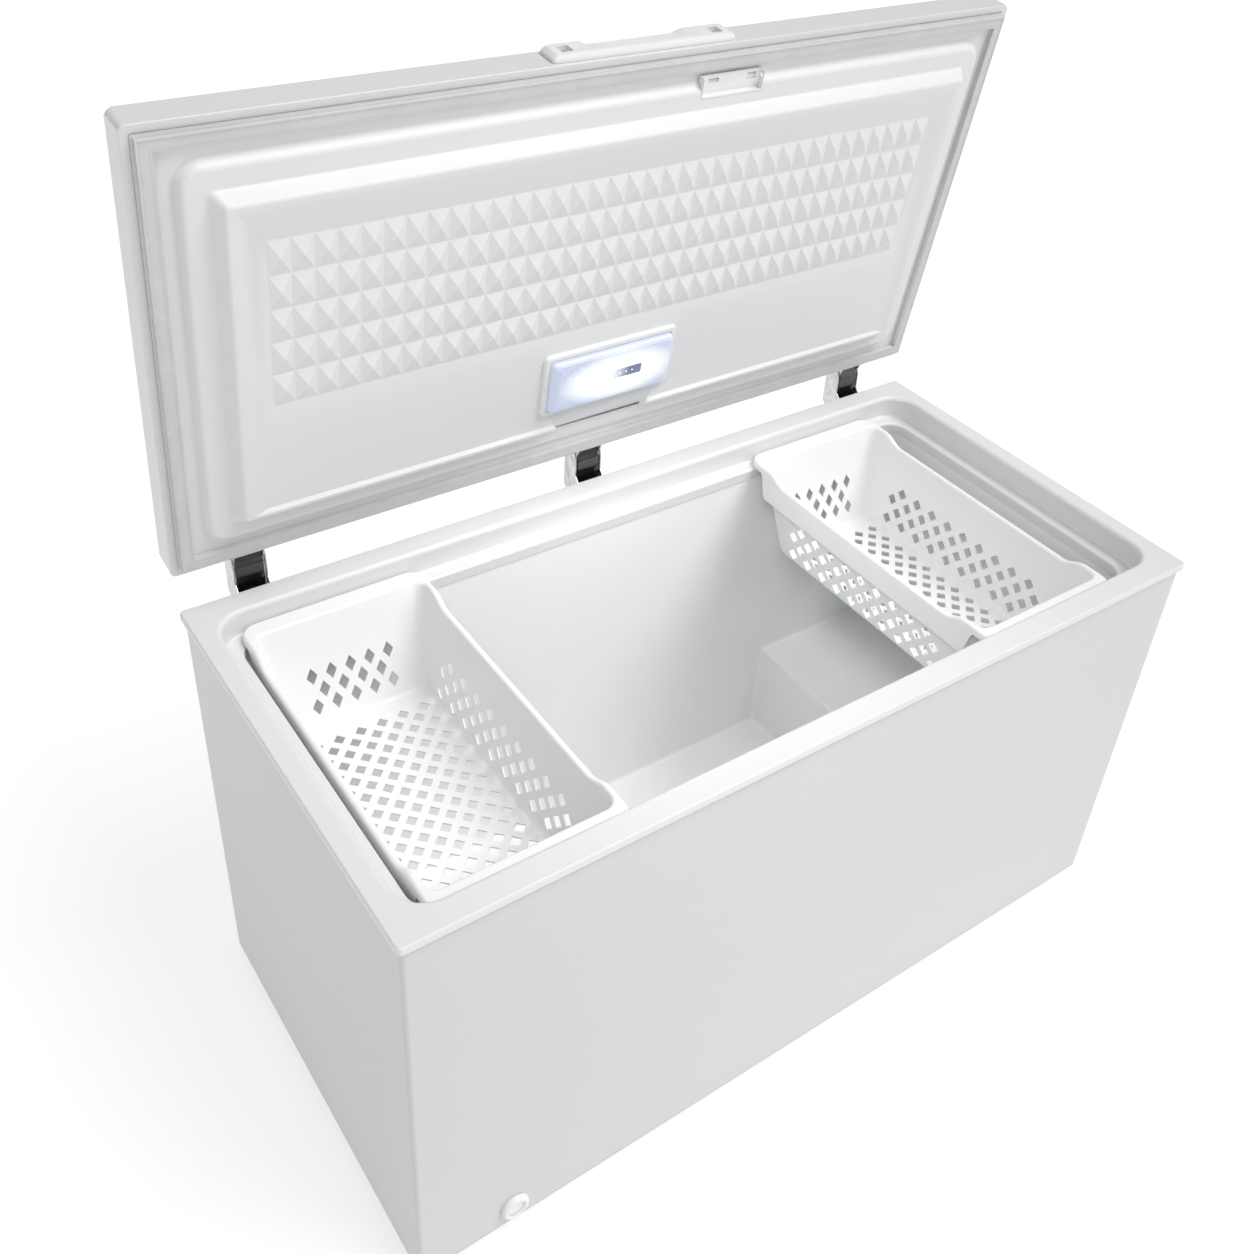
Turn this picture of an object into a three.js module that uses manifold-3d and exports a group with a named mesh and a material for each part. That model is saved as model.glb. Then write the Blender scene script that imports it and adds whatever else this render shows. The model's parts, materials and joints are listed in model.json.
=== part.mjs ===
// Chest freezer with an open, spring-hinged lid, two hanging baskets and a lamp in the lid.
// Millimetres, +Z up, width along X, the front faces -Y.
import * as THREE from 'three';
import { mergeVertices } from 'three/addons/utils/BufferGeometryUtils.js';
import Module from 'manifold-3d';

const wasm = await Module();
wasm.setup();

// ---- driving dimensions ------------------------------------------------------------------

const gap = 0.3;                    // clearance between pieces that touch

// cabinet
const cabinetWidth = 1390;
const cabinetDepth = 674;
const cabinetHeight = 741;          // floor to the top face of the collar
const footHeight = 20;
const footRadius = 22;
const footInset = 60;
const sheet = 0.8;                  // painted steel sheet
const cabinetCorner = 7;

// collar: the moulded frame around the opening
const lipOverhang = 5;
const lipHeight = 12;
const collarWall = 3;
const collarTop = 5;
const rimEnd = 33;                  // flat width of the collar's top at the ends
const rimFront = 42;                // and at the front and back
const openingRadius = 45;
const ledgeDepth = 41;              // ledge below the collar's top face
const ledgeWidth = 24;
const skirtHeight = 20;
const skirtWall = 1.2;

// liner and machine space
const linerWall = 1;
const linerFloor = 55;              // height of the inner floor above the ground
const humpWidth = 260;              // step over the compressor, at the right end
const humpTop = 243;
const humpFoam = 35;
const coilGap = 10;                 // space around the liner for the evaporator tube
const coilTube = 8;
const coilTurns = 5;
const coilMargin = 20;              // last turn stays this far above the step
const condenserTube = 5;
const condenserTurns = 3;
const condenserPitch = 110;
const condenserGap = 7;
const condenserBend = 24;

// lid
const lidSetback = 4;               // the lid stops this far short of the collar's front
const lidThickness = 46;
const lidCorner = 8;
const lidFlange = 16;               // turned-in edge of the lid's skin
const panelMargin = 11;             // flange left in sight around the inner panel
const lidOpenDegrees = 82;
const gasketProud = 11;
const gasketWidth = 19.5;
const gasketInset = 13;
const panelSheet = 1.8;
const plugOneBase = 48;             // distance of each step of the plug from the lid's edge
const plugOneTop = 58;
const plugOneHeight = 16;
const plugTwoBase = 86;
const plugTwoTop = 98;
const plugTwoHeight = 38;
const recessRim = 13;
const plainDepth = 4;               // plain field below the plug's rim
const patternDepth = 8;             // patterned field below the plug's rim
const plainMargin = 18;             // plug's rim down to the plain field
const patternMargin = 18;           // plain field to the patterned field
const patternStart = 279;           // from the lid's rear edge
const plainEnd = 251;

// hinge line, measured from the cabinet's rear face and from the collar's top face
const hingeBehind = 33;
const hingeAbove = 29.6;
const hingeInset = 109;             // outer hinges, from the cabinet's ends
const hingeWidth = 51;              // over the bracket's two cheeks
const hingeFront = 12;              // front face of the hinge, ahead of the pin
const hingeBack = 22;
const hingeTop = 19;                // above the pin
const hingeSlot = 3;                // slot in which each leg of the leaf swings
const hingeSheet = 2;
const bracketHeight = 140;
const pinRadius = 4;
const springRadius = 7.5;
const springWire = 2.4;
const springTurns = 6;

// baskets
const basketWidth = 275;
const basketRimBelow = 29;          // rim below the collar's top face
const basketDip = 15;               // side walls drop this far below the rim
const basketHeight = 168;
const basketWall = 2.4;
const basketEndGap = 15.5;          // left basket to the liner's left wall
const basketRightGap = 62;          // right basket to the liner's right wall
const basketTaperSide = 22;         // each wall leans in this far by the floor
const basketTaperEnd = 50;

// handle, lamp, latch pocket
const handleLength = 298;
const handleHeight = 38;
const handleProud = 10;
const handleScrewSpacing = 244;
const lampWidth = 240;
const lampHeight = 112;
const lampOffset = -20;
const lampStart = 130;              // from the lid's rear edge
const lampBase = 7;
const lensHeight = 14;
const pocketStart = 86;
const pocketWidth = 110;
const pocketDepth = 12;

// drain and services
const drainInset = 150;             // from the cabinet's left end
const drainCapRadius = 23;
const drainCapProud = 9;
const drainTubeRadius = 6;
const drainPlugY = -200;
const grilleWidth = 300;
const grilleHeight = 120;
const compressorRadius = 62;

// ---- values worked out from them ---------------------------------------------------------

const collarWidth = cabinetWidth + 2 * lipOverhang;
const collarDepth = cabinetDepth + 2 * lipOverhang;
const openingWidth = collarWidth - 2 * rimEnd;
const openingDepth = collarDepth - 2 * rimFront;
const lidWidth = collarWidth;
const lidDepth = collarDepth - lidSetback;
const gasketSeat = panelSheet + gap;
const plainWidth = lidWidth - 2 * (plugTwoTop + recessRim + plainMargin);
const patternWidth = plainWidth - 2 * patternMargin;
const patternHeight = lidDepth - patternStart - plugTwoTop - recessRim - 2 * (plainMargin + 2) - 3;
const ledgeZ = cabinetHeight - ledgeDepth;
const coilTop = ledgeZ - skirtHeight - 10;
const coilPitch = (coilTop - humpTop - coilMargin) / coilTurns;
const hingeSpacing = cabinetWidth / 2 - hingeInset;
const drainX = drainInset - cabinetWidth / 2;
const skirtWidth = openingWidth - 2 * ledgeWidth;
const skirtDepth = openingDepth - 2 * ledgeWidth;
const skirtRadius = openingRadius - 14;
const linerWidth = skirtWidth + 2 * (skirtWall + gap);
const linerDepth = skirtDepth + 2 * (skirtWall + gap);
const linerRadius = skirtRadius + skirtWall + gap;
const linerTop = ledgeZ - collarWall - gap;
const panZ = footHeight + gap;
const foamFloor = panZ + 2 * sheet;
const humpX = linerWidth / 2 - humpWidth;
const compartmentX = humpX + linerWall + humpFoam;
const compartmentTop = humpTop - linerWall - gap - humpFoam;
const bodyFront = -cabinetDepth / 2;
const bodyBack = cabinetDepth / 2;
const hingeY = bodyBack + hingeBehind;
const hingeZ = cabinetHeight + hingeAbove;
const lidNear = cabinetHeight + gasketProud + gap;      // height of the closed lid's lower edge
const lidRear = bodyBack + lipOverhang;                 // rear edge of the closed lid
const basketRim = cabinetHeight - basketRimBelow;
const basketDepth = openingDepth - 8;

// ---- materials ---------------------------------------------------------------------------

function finish(color, roughness, metalness) {
  return new THREE.MeshStandardMaterial({ color, roughness, metalness });
}

const whitePaint = finish(0xe9eaec, 0.42, 0.1);
const whitePlastic = finish(0xf1f2f3, 0.38, 0);
const linerMetal = finish(0xd9dcdf, 0.45, 0.3);
const gasketRubber = finish(0xe4e5e6, 0.7, 0);
const foam = finish(0xe8dcae, 0.95, 0);
const blackPaint = finish(0x17181a, 0.4, 0.2);
const blackGloss = finish(0x0c0d10, 0.12, 0.2);
const steel = finish(0xa9adb2, 0.35, 0.9);
const copper = finish(0xb06a3c, 0.35, 0.9);
const darkRubber = finish(0x1d1d1f, 0.85, 0);
const lensPlastic = finish(0xeaf3ff, 0.1, 0);
const boardGreen = finish(0x8fa0b4, 0.5, 0.1);

// ---- shape helpers -----------------------------------------------------------------------

function toSolid(geometry) {
  geometry.deleteAttribute('normal');
  geometry.deleteAttribute('uv');
  const merged = mergeVertices(geometry, 1e-4);
  const vertProperties = new Float32Array(merged.attributes.position.array);
  const triVerts = new Uint32Array(merged.index.array);
  return new wasm.Manifold(new wasm.Mesh({ numProp: 3, vertProperties, triVerts }));
}

function toGeometry(solid) {
  const mesh = solid.getMesh();
  const geometry = new THREE.BufferGeometry();
  geometry.setAttribute('position', new THREE.BufferAttribute(new Float32Array(mesh.vertProperties), 3));
  geometry.setIndex(new THREE.BufferAttribute(new Uint32Array(mesh.triVerts), 1));
  return geometry;
}

function roundedOutline(width, depth, radius, x = 0, y = 0) {
  const w = width / 2;
  const d = depth / 2;
  const shape = new THREE.Shape();
  shape.moveTo(x - w + radius, y - d);
  shape.lineTo(x + w - radius, y - d);
  shape.absarc(x + w - radius, y - d + radius, radius, -Math.PI / 2, 0);
  shape.lineTo(x + w, y + d - radius);
  shape.absarc(x + w - radius, y + d - radius, radius, 0, Math.PI / 2);
  shape.lineTo(x - w + radius, y + d);
  shape.absarc(x - w + radius, y + d - radius, radius, Math.PI / 2, Math.PI);
  shape.lineTo(x - w, y - d + radius);
  shape.absarc(x - w + radius, y - d + radius, radius, Math.PI, 1.5 * Math.PI);
  return shape;
}

function extrude(shape, bottom, top, segments = 4) {
  const geometry = new THREE.ExtrudeGeometry(shape, {
    depth: top - bottom, bevelEnabled: false, steps: 1, curveSegments: segments,
  });
  geometry.translate(0, 0, bottom);
  return geometry;
}

// upright rounded block, as a solid
function slab(width, depth, radius, bottom, top, x = 0, y = 0, segments = 4) {
  return toSolid(extrude(roundedOutline(width, depth, radius, x, y), bottom, top, segments));
}

// rounded block whose far end (top) is drawn in by draftX and draftY on each side
function drafted(width, depth, radius, bottom, top, draftX, draftY, x = 0, y = 0, segments = 4) {
  const geometry = extrude(roundedOutline(width, depth, radius), 0, top - bottom, segments);
  const position = geometry.attributes.position;
  for (let i = 0; i < position.count; i += 1) {
    if (position.getZ(i) < (top - bottom) / 2) continue;
    position.setX(i, position.getX(i) * (width - 2 * draftX) / width);
    position.setY(i, position.getY(i) * (depth - 2 * draftY) / depth);
  }
  geometry.translate(x, y, bottom);
  return toSolid(geometry);
}

function block(minX, maxX, minY, maxY, minZ, maxZ) {
  const geometry = new THREE.BoxGeometry(maxX - minX, maxY - minY, maxZ - minZ);
  geometry.translate((minX + maxX) / 2, (minY + maxY) / 2, (minZ + maxZ) / 2);
  return toSolid(geometry);
}

// solid of a closed (y, z) outline, from x = minX to x = maxX
function sideProfile(points, minX, maxX) {
  const shape = new THREE.Shape(points.map(([y, z]) => new THREE.Vector2(y, z)));
  const geometry = new THREE.ExtrudeGeometry(shape, { depth: maxX - minX, bevelEnabled: false, steps: 1 });
  geometry.applyMatrix4(new THREE.Matrix4().makeBasis(
    new THREE.Vector3(0, 1, 0), new THREE.Vector3(0, 0, 1), new THREE.Vector3(1, 0, 0),
  ));
  geometry.translate(minX, 0, 0);
  return toSolid(geometry);
}

function cylinder(radius, from, to, segments = 24) {
  const length = from.distanceTo(to);
  const geometry = new THREE.CylinderGeometry(radius, radius, length, segments);
  const turn = new THREE.Quaternion().setFromUnitVectors(
    new THREE.Vector3(0, 1, 0), to.clone().sub(from).normalize(),
  );
  geometry.applyQuaternion(turn);
  const middle = from.clone().add(to).multiplyScalar(0.5);
  geometry.translate(middle.x, middle.y, middle.z);
  return toSolid(geometry);
}

function point(x, y, z) {
  return new THREE.Vector3(x, y, z);
}

// turned solid: (radius, height) outline about +Z
function turned(points, segments = 28) {
  return new THREE.LatheGeometry(points.map(([r, h]) => new THREE.Vector2(r, h)), segments)
    .applyMatrix4(new THREE.Matrix4().makeRotationX(Math.PI / 2));
}

// path that passes exactly through its points, mitred at each of them
class WirePath extends THREE.Curve {
  constructor(points) {
    super();
    this.points = points;
  }

  getPoint(t, target = new THREE.Vector3()) {
    const place = t * (this.points.length - 1);
    const i = Math.min(Math.floor(place + 1e-6), this.points.length - 2);
    return target.lerpVectors(this.points[i], this.points[i + 1], place - i);
  }

  getPointAt(t, target) {
    return this.getPoint(t, target);
  }

  getTangentAt(t, target = new THREE.Vector3()) {
    const last = this.points.length - 1;
    const i = Math.round(t * last);
    const here = this.points[i];
    const before = here.clone().sub(this.points[Math.max(i - 1, 0)]).normalize();
    const after = this.points[Math.min(i + 1, last)].clone().sub(here).normalize();
    return target.addVectors(before, after).normalize();
  }
}

// round bar swept along a path of points
function tube(points, radius, sides) {
  const section = new THREE.Shape(Array.from({ length: sides }, (_, i) => {
    const turn = 2 * Math.PI * i / sides;
    return new THREE.Vector2(radius * Math.cos(turn), radius * Math.sin(turn));
  }));
  return new THREE.ExtrudeGeometry(section, {
    steps: points.length - 1, bevelEnabled: false, extrudePath: new WirePath(points),
  });
}

function fillet(radius, wall) {
  return Math.max(0.5, radius - wall);
}

function add(parent, name, shape, material) {
  const geometry = shape.isBufferGeometry ? shape : toGeometry(shape);
  const mesh = new THREE.Mesh(geometry, material);
  mesh.name = name;
  parent.add(mesh);
  return mesh;
}

// ---- cabinet -----------------------------------------------------------------------------

const cabinet = new THREE.Group();
const drainZ = linerFloor - linerWall - drainTubeRadius - 4;   // axis of the drain tube
const capZ = footHeight + 35;
const wrapTop = cabinetHeight - collarTop - gap;
const wrapBottom = panZ + sheet + gap;
const drainHole = cylinder(drainTubeRadius + 1, point(drainX, bodyFront - 20, drainZ),
  point(drainX, drainPlugY, drainZ), 16);

function outerWrap() {
  const outer = slab(cabinetWidth, cabinetDepth, cabinetCorner, wrapBottom, wrapTop);
  const inner = slab(cabinetWidth - 2 * sheet, cabinetDepth - 2 * sheet, fillet(cabinetCorner, sheet),
    wrapBottom - 1, wrapTop + 1);
  const rear = block(-cabinetWidth / 2 + cabinetCorner, cabinetWidth / 2 - cabinetCorner,
    bodyBack - 2, bodyBack + 1, wrapBottom - 1, wrapTop + 1);
  const grille = block(cabinetWidth / 2 - 5, cabinetWidth / 2 + 5, -grilleWidth / 2, grilleWidth / 2,
    grilleZ - grilleHeight / 2, grilleZ + grilleHeight / 2);
  return outer.subtract(inner).subtract(rear).subtract(grille).subtract(drainHole);
}

const grilleZ = (foamFloor + compartmentTop) / 2 + 8;

function rearPanel() {
  return block(-cabinetWidth / 2 + cabinetCorner + gap, cabinetWidth / 2 - cabinetCorner - gap,
    bodyBack - sheet, bodyBack, wrapBottom, wrapTop)
    .subtract(cylinder(9, point(glandX, bodyBack - 5, glandZ), point(glandX, bodyBack + 5, glandZ), 16));
}

function basePan() {
  return slab(cabinetWidth, cabinetDepth, cabinetCorner, panZ, panZ + sheet);
}

function foamBody() {
  const inset = sheet + condenserGap;
  const outer = slab(cabinetWidth - 2 * inset, cabinetDepth - 2 * inset, condenserBend - condenserGap / 2,
    foamFloor, ledgeZ - collarWall - gap, 0, 0, 6);
  const cavity = slab(linerWidth + 2 * (linerWall + coilGap), linerDepth + 2 * (linerWall + coilGap), linerRadius + coilGap,
    linerFloor - linerWall - gap, cabinetHeight, 0, 0, 6);
  const hump = block(humpX + linerWall + gap, cabinetWidth, -cabinetDepth, cabinetDepth,
    0, humpTop - linerWall - gap);
  const compartment = block(compartmentX, cabinetWidth, -cabinetDepth / 2 + 45, cabinetDepth,
    0, compartmentTop);
  return outer.subtract(cavity.subtract(hump)).subtract(compartment).subtract(drainHole)
    .subtract(cylinder(drainTubeRadius + 1, point(drainX, drainPlugY, drainZ - drainTubeRadius - 1),
      point(drainX, drainPlugY, linerFloor), 16));
}

function innerLiner() {
  const outer = slab(linerWidth + 2 * linerWall, linerDepth + 2 * linerWall, linerRadius + linerWall,
    linerFloor - linerWall, linerTop)
    .subtract(block(humpX + linerWall, cabinetWidth, -cabinetDepth, cabinetDepth, 0, humpTop - linerWall));
  const inner = slab(linerWidth, linerDepth, linerRadius, linerFloor, linerTop + 5)
    .subtract(block(humpX, cabinetWidth, -cabinetDepth, cabinetDepth, 0, humpTop));
  const hole = cylinder(drainTubeRadius + 1, point(drainX, drainPlugY, linerFloor - 10),
    point(drainX, drainPlugY, linerFloor + 10), 16);
  return outer.subtract(inner).subtract(hole);
}

function collar() {
  const flange = slab(collarWidth, collarDepth, cabinetCorner, cabinetHeight - lipHeight, cabinetHeight)
    .subtract(slab(cabinetWidth + 2 * gap, cabinetDepth + 2 * gap, cabinetCorner,
      cabinetHeight - lipHeight - 1, cabinetHeight - collarTop));
  const wall = slab(openingWidth + 2 * collarWall, openingDepth + 2 * collarWall,
    openingRadius + collarWall, ledgeZ - collarWall, cabinetHeight);
  const skirt = slab(skirtWidth + 2 * skirtWall, skirtDepth + 2 * skirtWall, skirtRadius + skirtWall,
    ledgeZ - skirtHeight, ledgeZ);
  return flange.add(wall).add(skirt)
    .subtract(slab(openingWidth, openingDepth, openingRadius, ledgeZ, cabinetHeight + 1, 0, 0, 6))
    .subtract(slab(skirtWidth, skirtDepth, skirtRadius, 0, cabinetHeight, 0, 0, 6));
}

// tube wound around a rounded rectangle, as one descending path
function woundTube(halfX, halfY, radius, top, turns, pitch, tubeRadius) {
  const corners = [[1, -1], [1, 1], [-1, 1], [-1, -1]];
  const points = [];
  for (let i = 0; i < 4 * turns; i += 1) {
    const [sx, sy] = corners[i % 4];
    for (let k = 0; k <= 4; k += 1) {
      const turn = ((i % 4) - 1) * Math.PI / 2 + k * Math.PI / 8;
      points.push(point(sx * (halfX - radius) + radius * Math.cos(turn),
        sy * (halfY - radius) + radius * Math.sin(turn), top - pitch * (i + k / 8) / 4));
    }
  }
  return tube(points, tubeRadius, 8);
}

const foot = turned([[0, 0], [footRadius - 3, 0], [footRadius, 3], [footRadius - 4, footHeight], [0, footHeight]], 20);

add(cabinet, 'base_pan', basePan(), blackPaint);
for (const [side, sx] of [['left', -1], ['right', 1]]) {
  for (const [end, sy] of [['front', -1], ['rear', 1]]) {
    const pad = add(cabinet, `foot_${end}_${side}`, foot.clone(), darkRubber);
    pad.position.set(sx * (cabinetWidth / 2 - footInset), sy * (cabinetDepth / 2 - footInset), 0);
  }
}

const glandX = 560;
const glandZ = 90;

add(cabinet, 'outer_wrap', outerWrap(), whitePaint);
add(cabinet, 'rear_panel', rearPanel(), whitePaint);
add(cabinet, 'cabinet_foam', foamBody(), foam);
add(cabinet, 'inner_liner', innerLiner(), linerMetal);
add(cabinet, 'collar', collar(), whitePlastic);
add(cabinet, 'evaporator_coil', woundTube(
  linerWidth / 2 + linerWall + coilGap / 2, linerDepth / 2 + linerWall + coilGap / 2,
  linerRadius + linerWall + coilGap / 2, coilTop, coilTurns, coilPitch, coilTube / 2,
), steel);
add(cabinet, 'condenser_coil', woundTube(
  cabinetWidth / 2 - sheet - condenserGap / 2, cabinetDepth / 2 - sheet - condenserGap / 2,
  condenserBend, ledgeZ - 60, condenserTurns, condenserPitch, condenserTube / 2,
), copper);

// ---- machine space -----------------------------------------------------------------------

const thermostatReach = 55;         // depth taken up behind the side wall
const compressorX = cabinetWidth / 2 - thermostatReach - compressorRadius - 8;
const compressorY = 60;
const plateZ = foamFloor + 0.4;
const plateThickness = 2;
const grommetHeight = 10;
const compressorZ = plateZ + plateThickness + grommetHeight + 2 * gap;

function compressorShell() {
  const can = toSolid(turned([
    [0, 0], [compressorRadius * 0.8, 0], [compressorRadius, 14], [compressorRadius, 66], [compressorRadius + 3, 68],
    [compressorRadius + 3, 73], [compressorRadius, 75], [compressorRadius * 0.93, 104],
    [compressorRadius * 0.6, 122], [0, 128],
  ], 28)).translate(compressorX, compressorY, compressorZ);
  const feet = slab(4 * compressorRadius / 2 + 20, 100, 12, compressorZ, compressorZ + 3, compressorX, compressorY);
  return can.add(feet);
}

add(cabinet, 'compressor_plate', slab(200, 280, 10, plateZ, plateZ + plateThickness, compressorX, compressorY),
  steel);
for (const [side, sx] of [['left', -1], ['right', 1]]) {
  for (const [end, sy] of [['front', -1], ['rear', 1]]) {
    const grommet = add(cabinet, `grommet_${end}_${side}`, turned([
      [0, 0], [8, 0], [8, 3], [6, 5], [8, 7], [8, grommetHeight], [0, grommetHeight]], 16), darkRubber);
    grommet.position.set(compressorX + sx * 60, compressorY + sy * 38, plateZ + plateThickness + gap);
  }
}
add(cabinet, 'compressor', compressorShell(), blackPaint);
add(cabinet, 'start_relay', slab(50, 34, 5, compressorZ + 25, compressorZ + 80, compressorX,
  compressorY - compressorRadius - 3 - gap - 17), darkRubber);
const dryer = add(cabinet, 'filter_dryer', turned([
  [0, 0], [3, 0], [3, 12], [10, 20], [10, 75], [3, 84], [3, 96], [0, 96]], 18), copper);
dryer.position.set(compartmentX + 25, compressorY + 150, foamFloor + 20);

// louvred cover with the control, in the right side wall
function sideGrille() {
  const face = cabinetWidth / 2 + 3;
  const inner = cabinetWidth / 2 - sheet;
  let plate = block(cabinetWidth / 2 + gap, face, -grilleWidth / 2 - 8, grilleWidth / 2 + 8,
    grilleZ - grilleHeight / 2 - 8, grilleZ + grilleHeight / 2 + 8)
    .add(block(inner - 12, cabinetWidth / 2 + 1, -grilleWidth / 2 + gap, grilleWidth / 2 - gap,
      grilleZ - grilleHeight / 2 + gap, grilleZ + grilleHeight / 2 - gap))
    .subtract(block(inner - 14, inner, -grilleWidth / 2 + 3, grilleWidth / 2 - 3,
      grilleZ - grilleHeight / 2 + 3, grilleZ + grilleHeight / 2 - 3));
  for (let i = -3; i <= 3; i += 1) {
    const slotZ = grilleZ + i * 14;
    plate = plate.subtract(block(inner - 20, face + 5, -grilleWidth / 2 + 15, 40, slotZ - 3, slotZ + 3));
  }
  return plate
    .subtract(cylinder(knobRadius + 1, point(inner - 8, knobY, grilleZ), point(face + 5, knobY, grilleZ), 28))
    .subtract(cylinder(4, point(inner - 20, knobY, lightZ), point(face + 5, knobY, lightZ), 16))
    .subtract(cylinder(4, point(inner - 20, knobY, grilleZ), point(face + 5, knobY, grilleZ), 16));
}

const knobRadius = 20;
const knobY = 95;
const lightZ = grilleZ + 42;
const knobBack = cabinetWidth / 2 - sheet + gap;

add(cabinet, 'side_grille', sideGrille(), whitePlastic);
add(cabinet, 'power_light', cylinder(3.6, point(cabinetWidth / 2 - 14, knobY, lightZ),
  point(cabinetWidth / 2 + 4, knobY, lightZ), 16), lensPlastic);
add(cabinet, 'thermostat', block(cabinetWidth / 2 - thermostatReach, cabinetWidth / 2 - sheet - 14, knobY - 24, knobY + 24,
  grilleZ - 30, grilleZ + 24), steel);
const knob = turned([[0, 0], [3, 0], [3, 12], [knobRadius, 12], [knobRadius, 16], [knobRadius - 3, 18], [0, 18]], 28);
knob.rotateY(Math.PI / 2);
const knobSolid = toSolid(knob.translate(knobBack - 12.8, knobY, grilleZ))
  .subtract(block(cabinetWidth / 2 + 3.8, cabinetWidth / 2 + 20, knobY - 1.2, knobY + 1.2, grilleZ + 4, grilleZ + 40));
add(cabinet, 'thermostat_knob', knobSolid, whitePlastic);

const gland = turned([[0, 0], [8.6, 0], [8.6, 4], [12, 4.4], [12, 8], [7, 10], [6, 22], [3.5, 22], [3.5, 2], [0, 2]], 24);
gland.rotateX(-Math.PI / 2);
add(cabinet, 'cord_gland', gland, darkRubber).position.set(glandX, bodyBack - 4.1 + gap, glandZ);

// ---- drain -------------------------------------------------------------------------------

function drainTube() {
  const front = bodyFront + sheet + 2;
  const solid = cylinder(drainTubeRadius, point(drainX, front, drainZ), point(drainX, drainPlugY, drainZ), 16)
    .add(cylinder(drainTubeRadius, point(drainX, drainPlugY, drainZ - drainTubeRadius),
      point(drainX, drainPlugY, linerFloor - linerWall - gap), 16));
  const bore = drainTubeRadius - 1.5;
  return solid
    .subtract(cylinder(bore, point(drainX, front - 5, drainZ), point(drainX, drainPlugY, drainZ), 12))
    .subtract(cylinder(bore, point(drainX, drainPlugY, drainZ - bore), point(drainX, drainPlugY, linerFloor), 12));
}

add(cabinet, 'drain_tube', drainTube(), whitePlastic);

const cap = turned([
  [0, gap], [drainCapRadius, gap], [drainCapRadius - 1, drainCapProud - 4], [drainCapRadius - 3, drainCapProud - 1],
  [drainCapRadius - 6, drainCapProud], [drainCapRadius - 8.5, drainCapProud - 0.6],
  [drainCapRadius - 10, drainCapProud - 3.5], [0, drainCapProud - 3.5]], 32);
cap.rotateX(Math.PI / 2);
// its stem reaches through the front wall into the drain tube
const capSolid = toSolid(cap.translate(drainX, bodyFront, capZ))
  .add(cylinder(drainTubeRadius - 2, point(drainX, bodyFront - 2, drainZ), point(drainX, bodyFront + 14, drainZ), 16));
add(cabinet, 'drain_cap', capSolid, whitePlastic);

add(cabinet, 'drain_plug', turned([
  [0, -8], [drainTubeRadius - 3, -8], [drainTubeRadius - 1.5 - gap, gap], [13, gap], [13, 2], [11, 4], [0, 4]], 24), whitePlastic)
  .position.set(drainX, drainPlugY, linerFloor);

// ---- baskets -----------------------------------------------------------------------------

// open box that hangs by its front and rear rims on the collar's ledge
function basket() {
  const bodyDepth = skirtDepth - 12;
  const bottom = basketRim - basketHeight;
  const shell = drafted(basketWidth, bodyDepth, 20, -basketRim, -bottom, basketTaperSide, basketTaperEnd);
  const inside = drafted(basketWidth - 2 * basketWall, bodyDepth - 2 * basketWall, 20 - basketWall,
    -basketRim - 1, -bottom - basketWall, basketTaperSide, basketTaperEnd);
  const skirtBand = slab(basketWidth + 7, bodyDepth - 60, 20, -basketRim, -basketRim + 58)
    .subtract(slab(basketWidth + 2, bodyDepth - 65, 17, -basketRim - 1, -basketRim + 56));
  const walls = shell.add(skirtBand).subtract(inside);
  const rim = slab(basketWidth - 40, basketDepth, 8, -basketRim, -ledgeZ - gap)
    .subtract(slab(basketWidth - 36, basketDepth - 2 * basketWall, 6, -basketRim + basketWall, -ledgeZ + 1))
    .subtract(slab(basketWidth, bodyDepth - 2 * basketWall, 10, -basketRim - 1, -ledgeZ + 2));
  const dip = sideProfile([
    [-bodyDepth / 2 + 34, -basketRim - 1], [-bodyDepth / 2 + 62, -basketRim + basketDip],
    [bodyDepth / 2 - 62, -basketRim + basketDip], [bodyDepth / 2 - 34, -basketRim - 1],
  ], -basketWidth, basketWidth);
  const flipped = walls.add(rim).subtract(dip);
  return toGeometry(flipped).rotateX(Math.PI);
}

const leftBasketX = -linerWidth / 2 + basketEndGap + basketWidth / 2;
const rightBasketX = linerWidth / 2 - basketRightGap - basketWidth / 2;
add(cabinet, 'basket_left', basket(), whitePlastic).position.set(leftBasketX, 0, 0);
add(cabinet, 'basket_right', basket(), whitePlastic).position.set(rightBasketX, 0, 0);

// ---- lid, drawn closed about the hinge line, then swung open -----------------------------
// In the lid's own frame y = rear - s for a distance s from the rear edge, and z = near - u for
// a height u above the turned-in edge, towards the inside of the freezer.

const lid = new THREE.Group();
const rear = lidRear - hingeY;
const near = lidNear - hingeZ;
const lidMiddle = rear - lidDepth / 2;
const lidOuter = near + lidThickness;

// plug step between heights u0 and u1, inset from the lid's edge by i0 and i1
function plugStep(i0, i1, u0, u1, radius, grow = 0) {
  return drafted(lidWidth - 2 * i0 + 2 * grow, lidDepth - 2 * i0 + 2 * grow, radius, 0, u1 - u0, i1 - i0, i1 - i0)
    .translate(0, 0, u0).rotate([180, 0, 0]).translate(0, lidMiddle, near);
}

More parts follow.
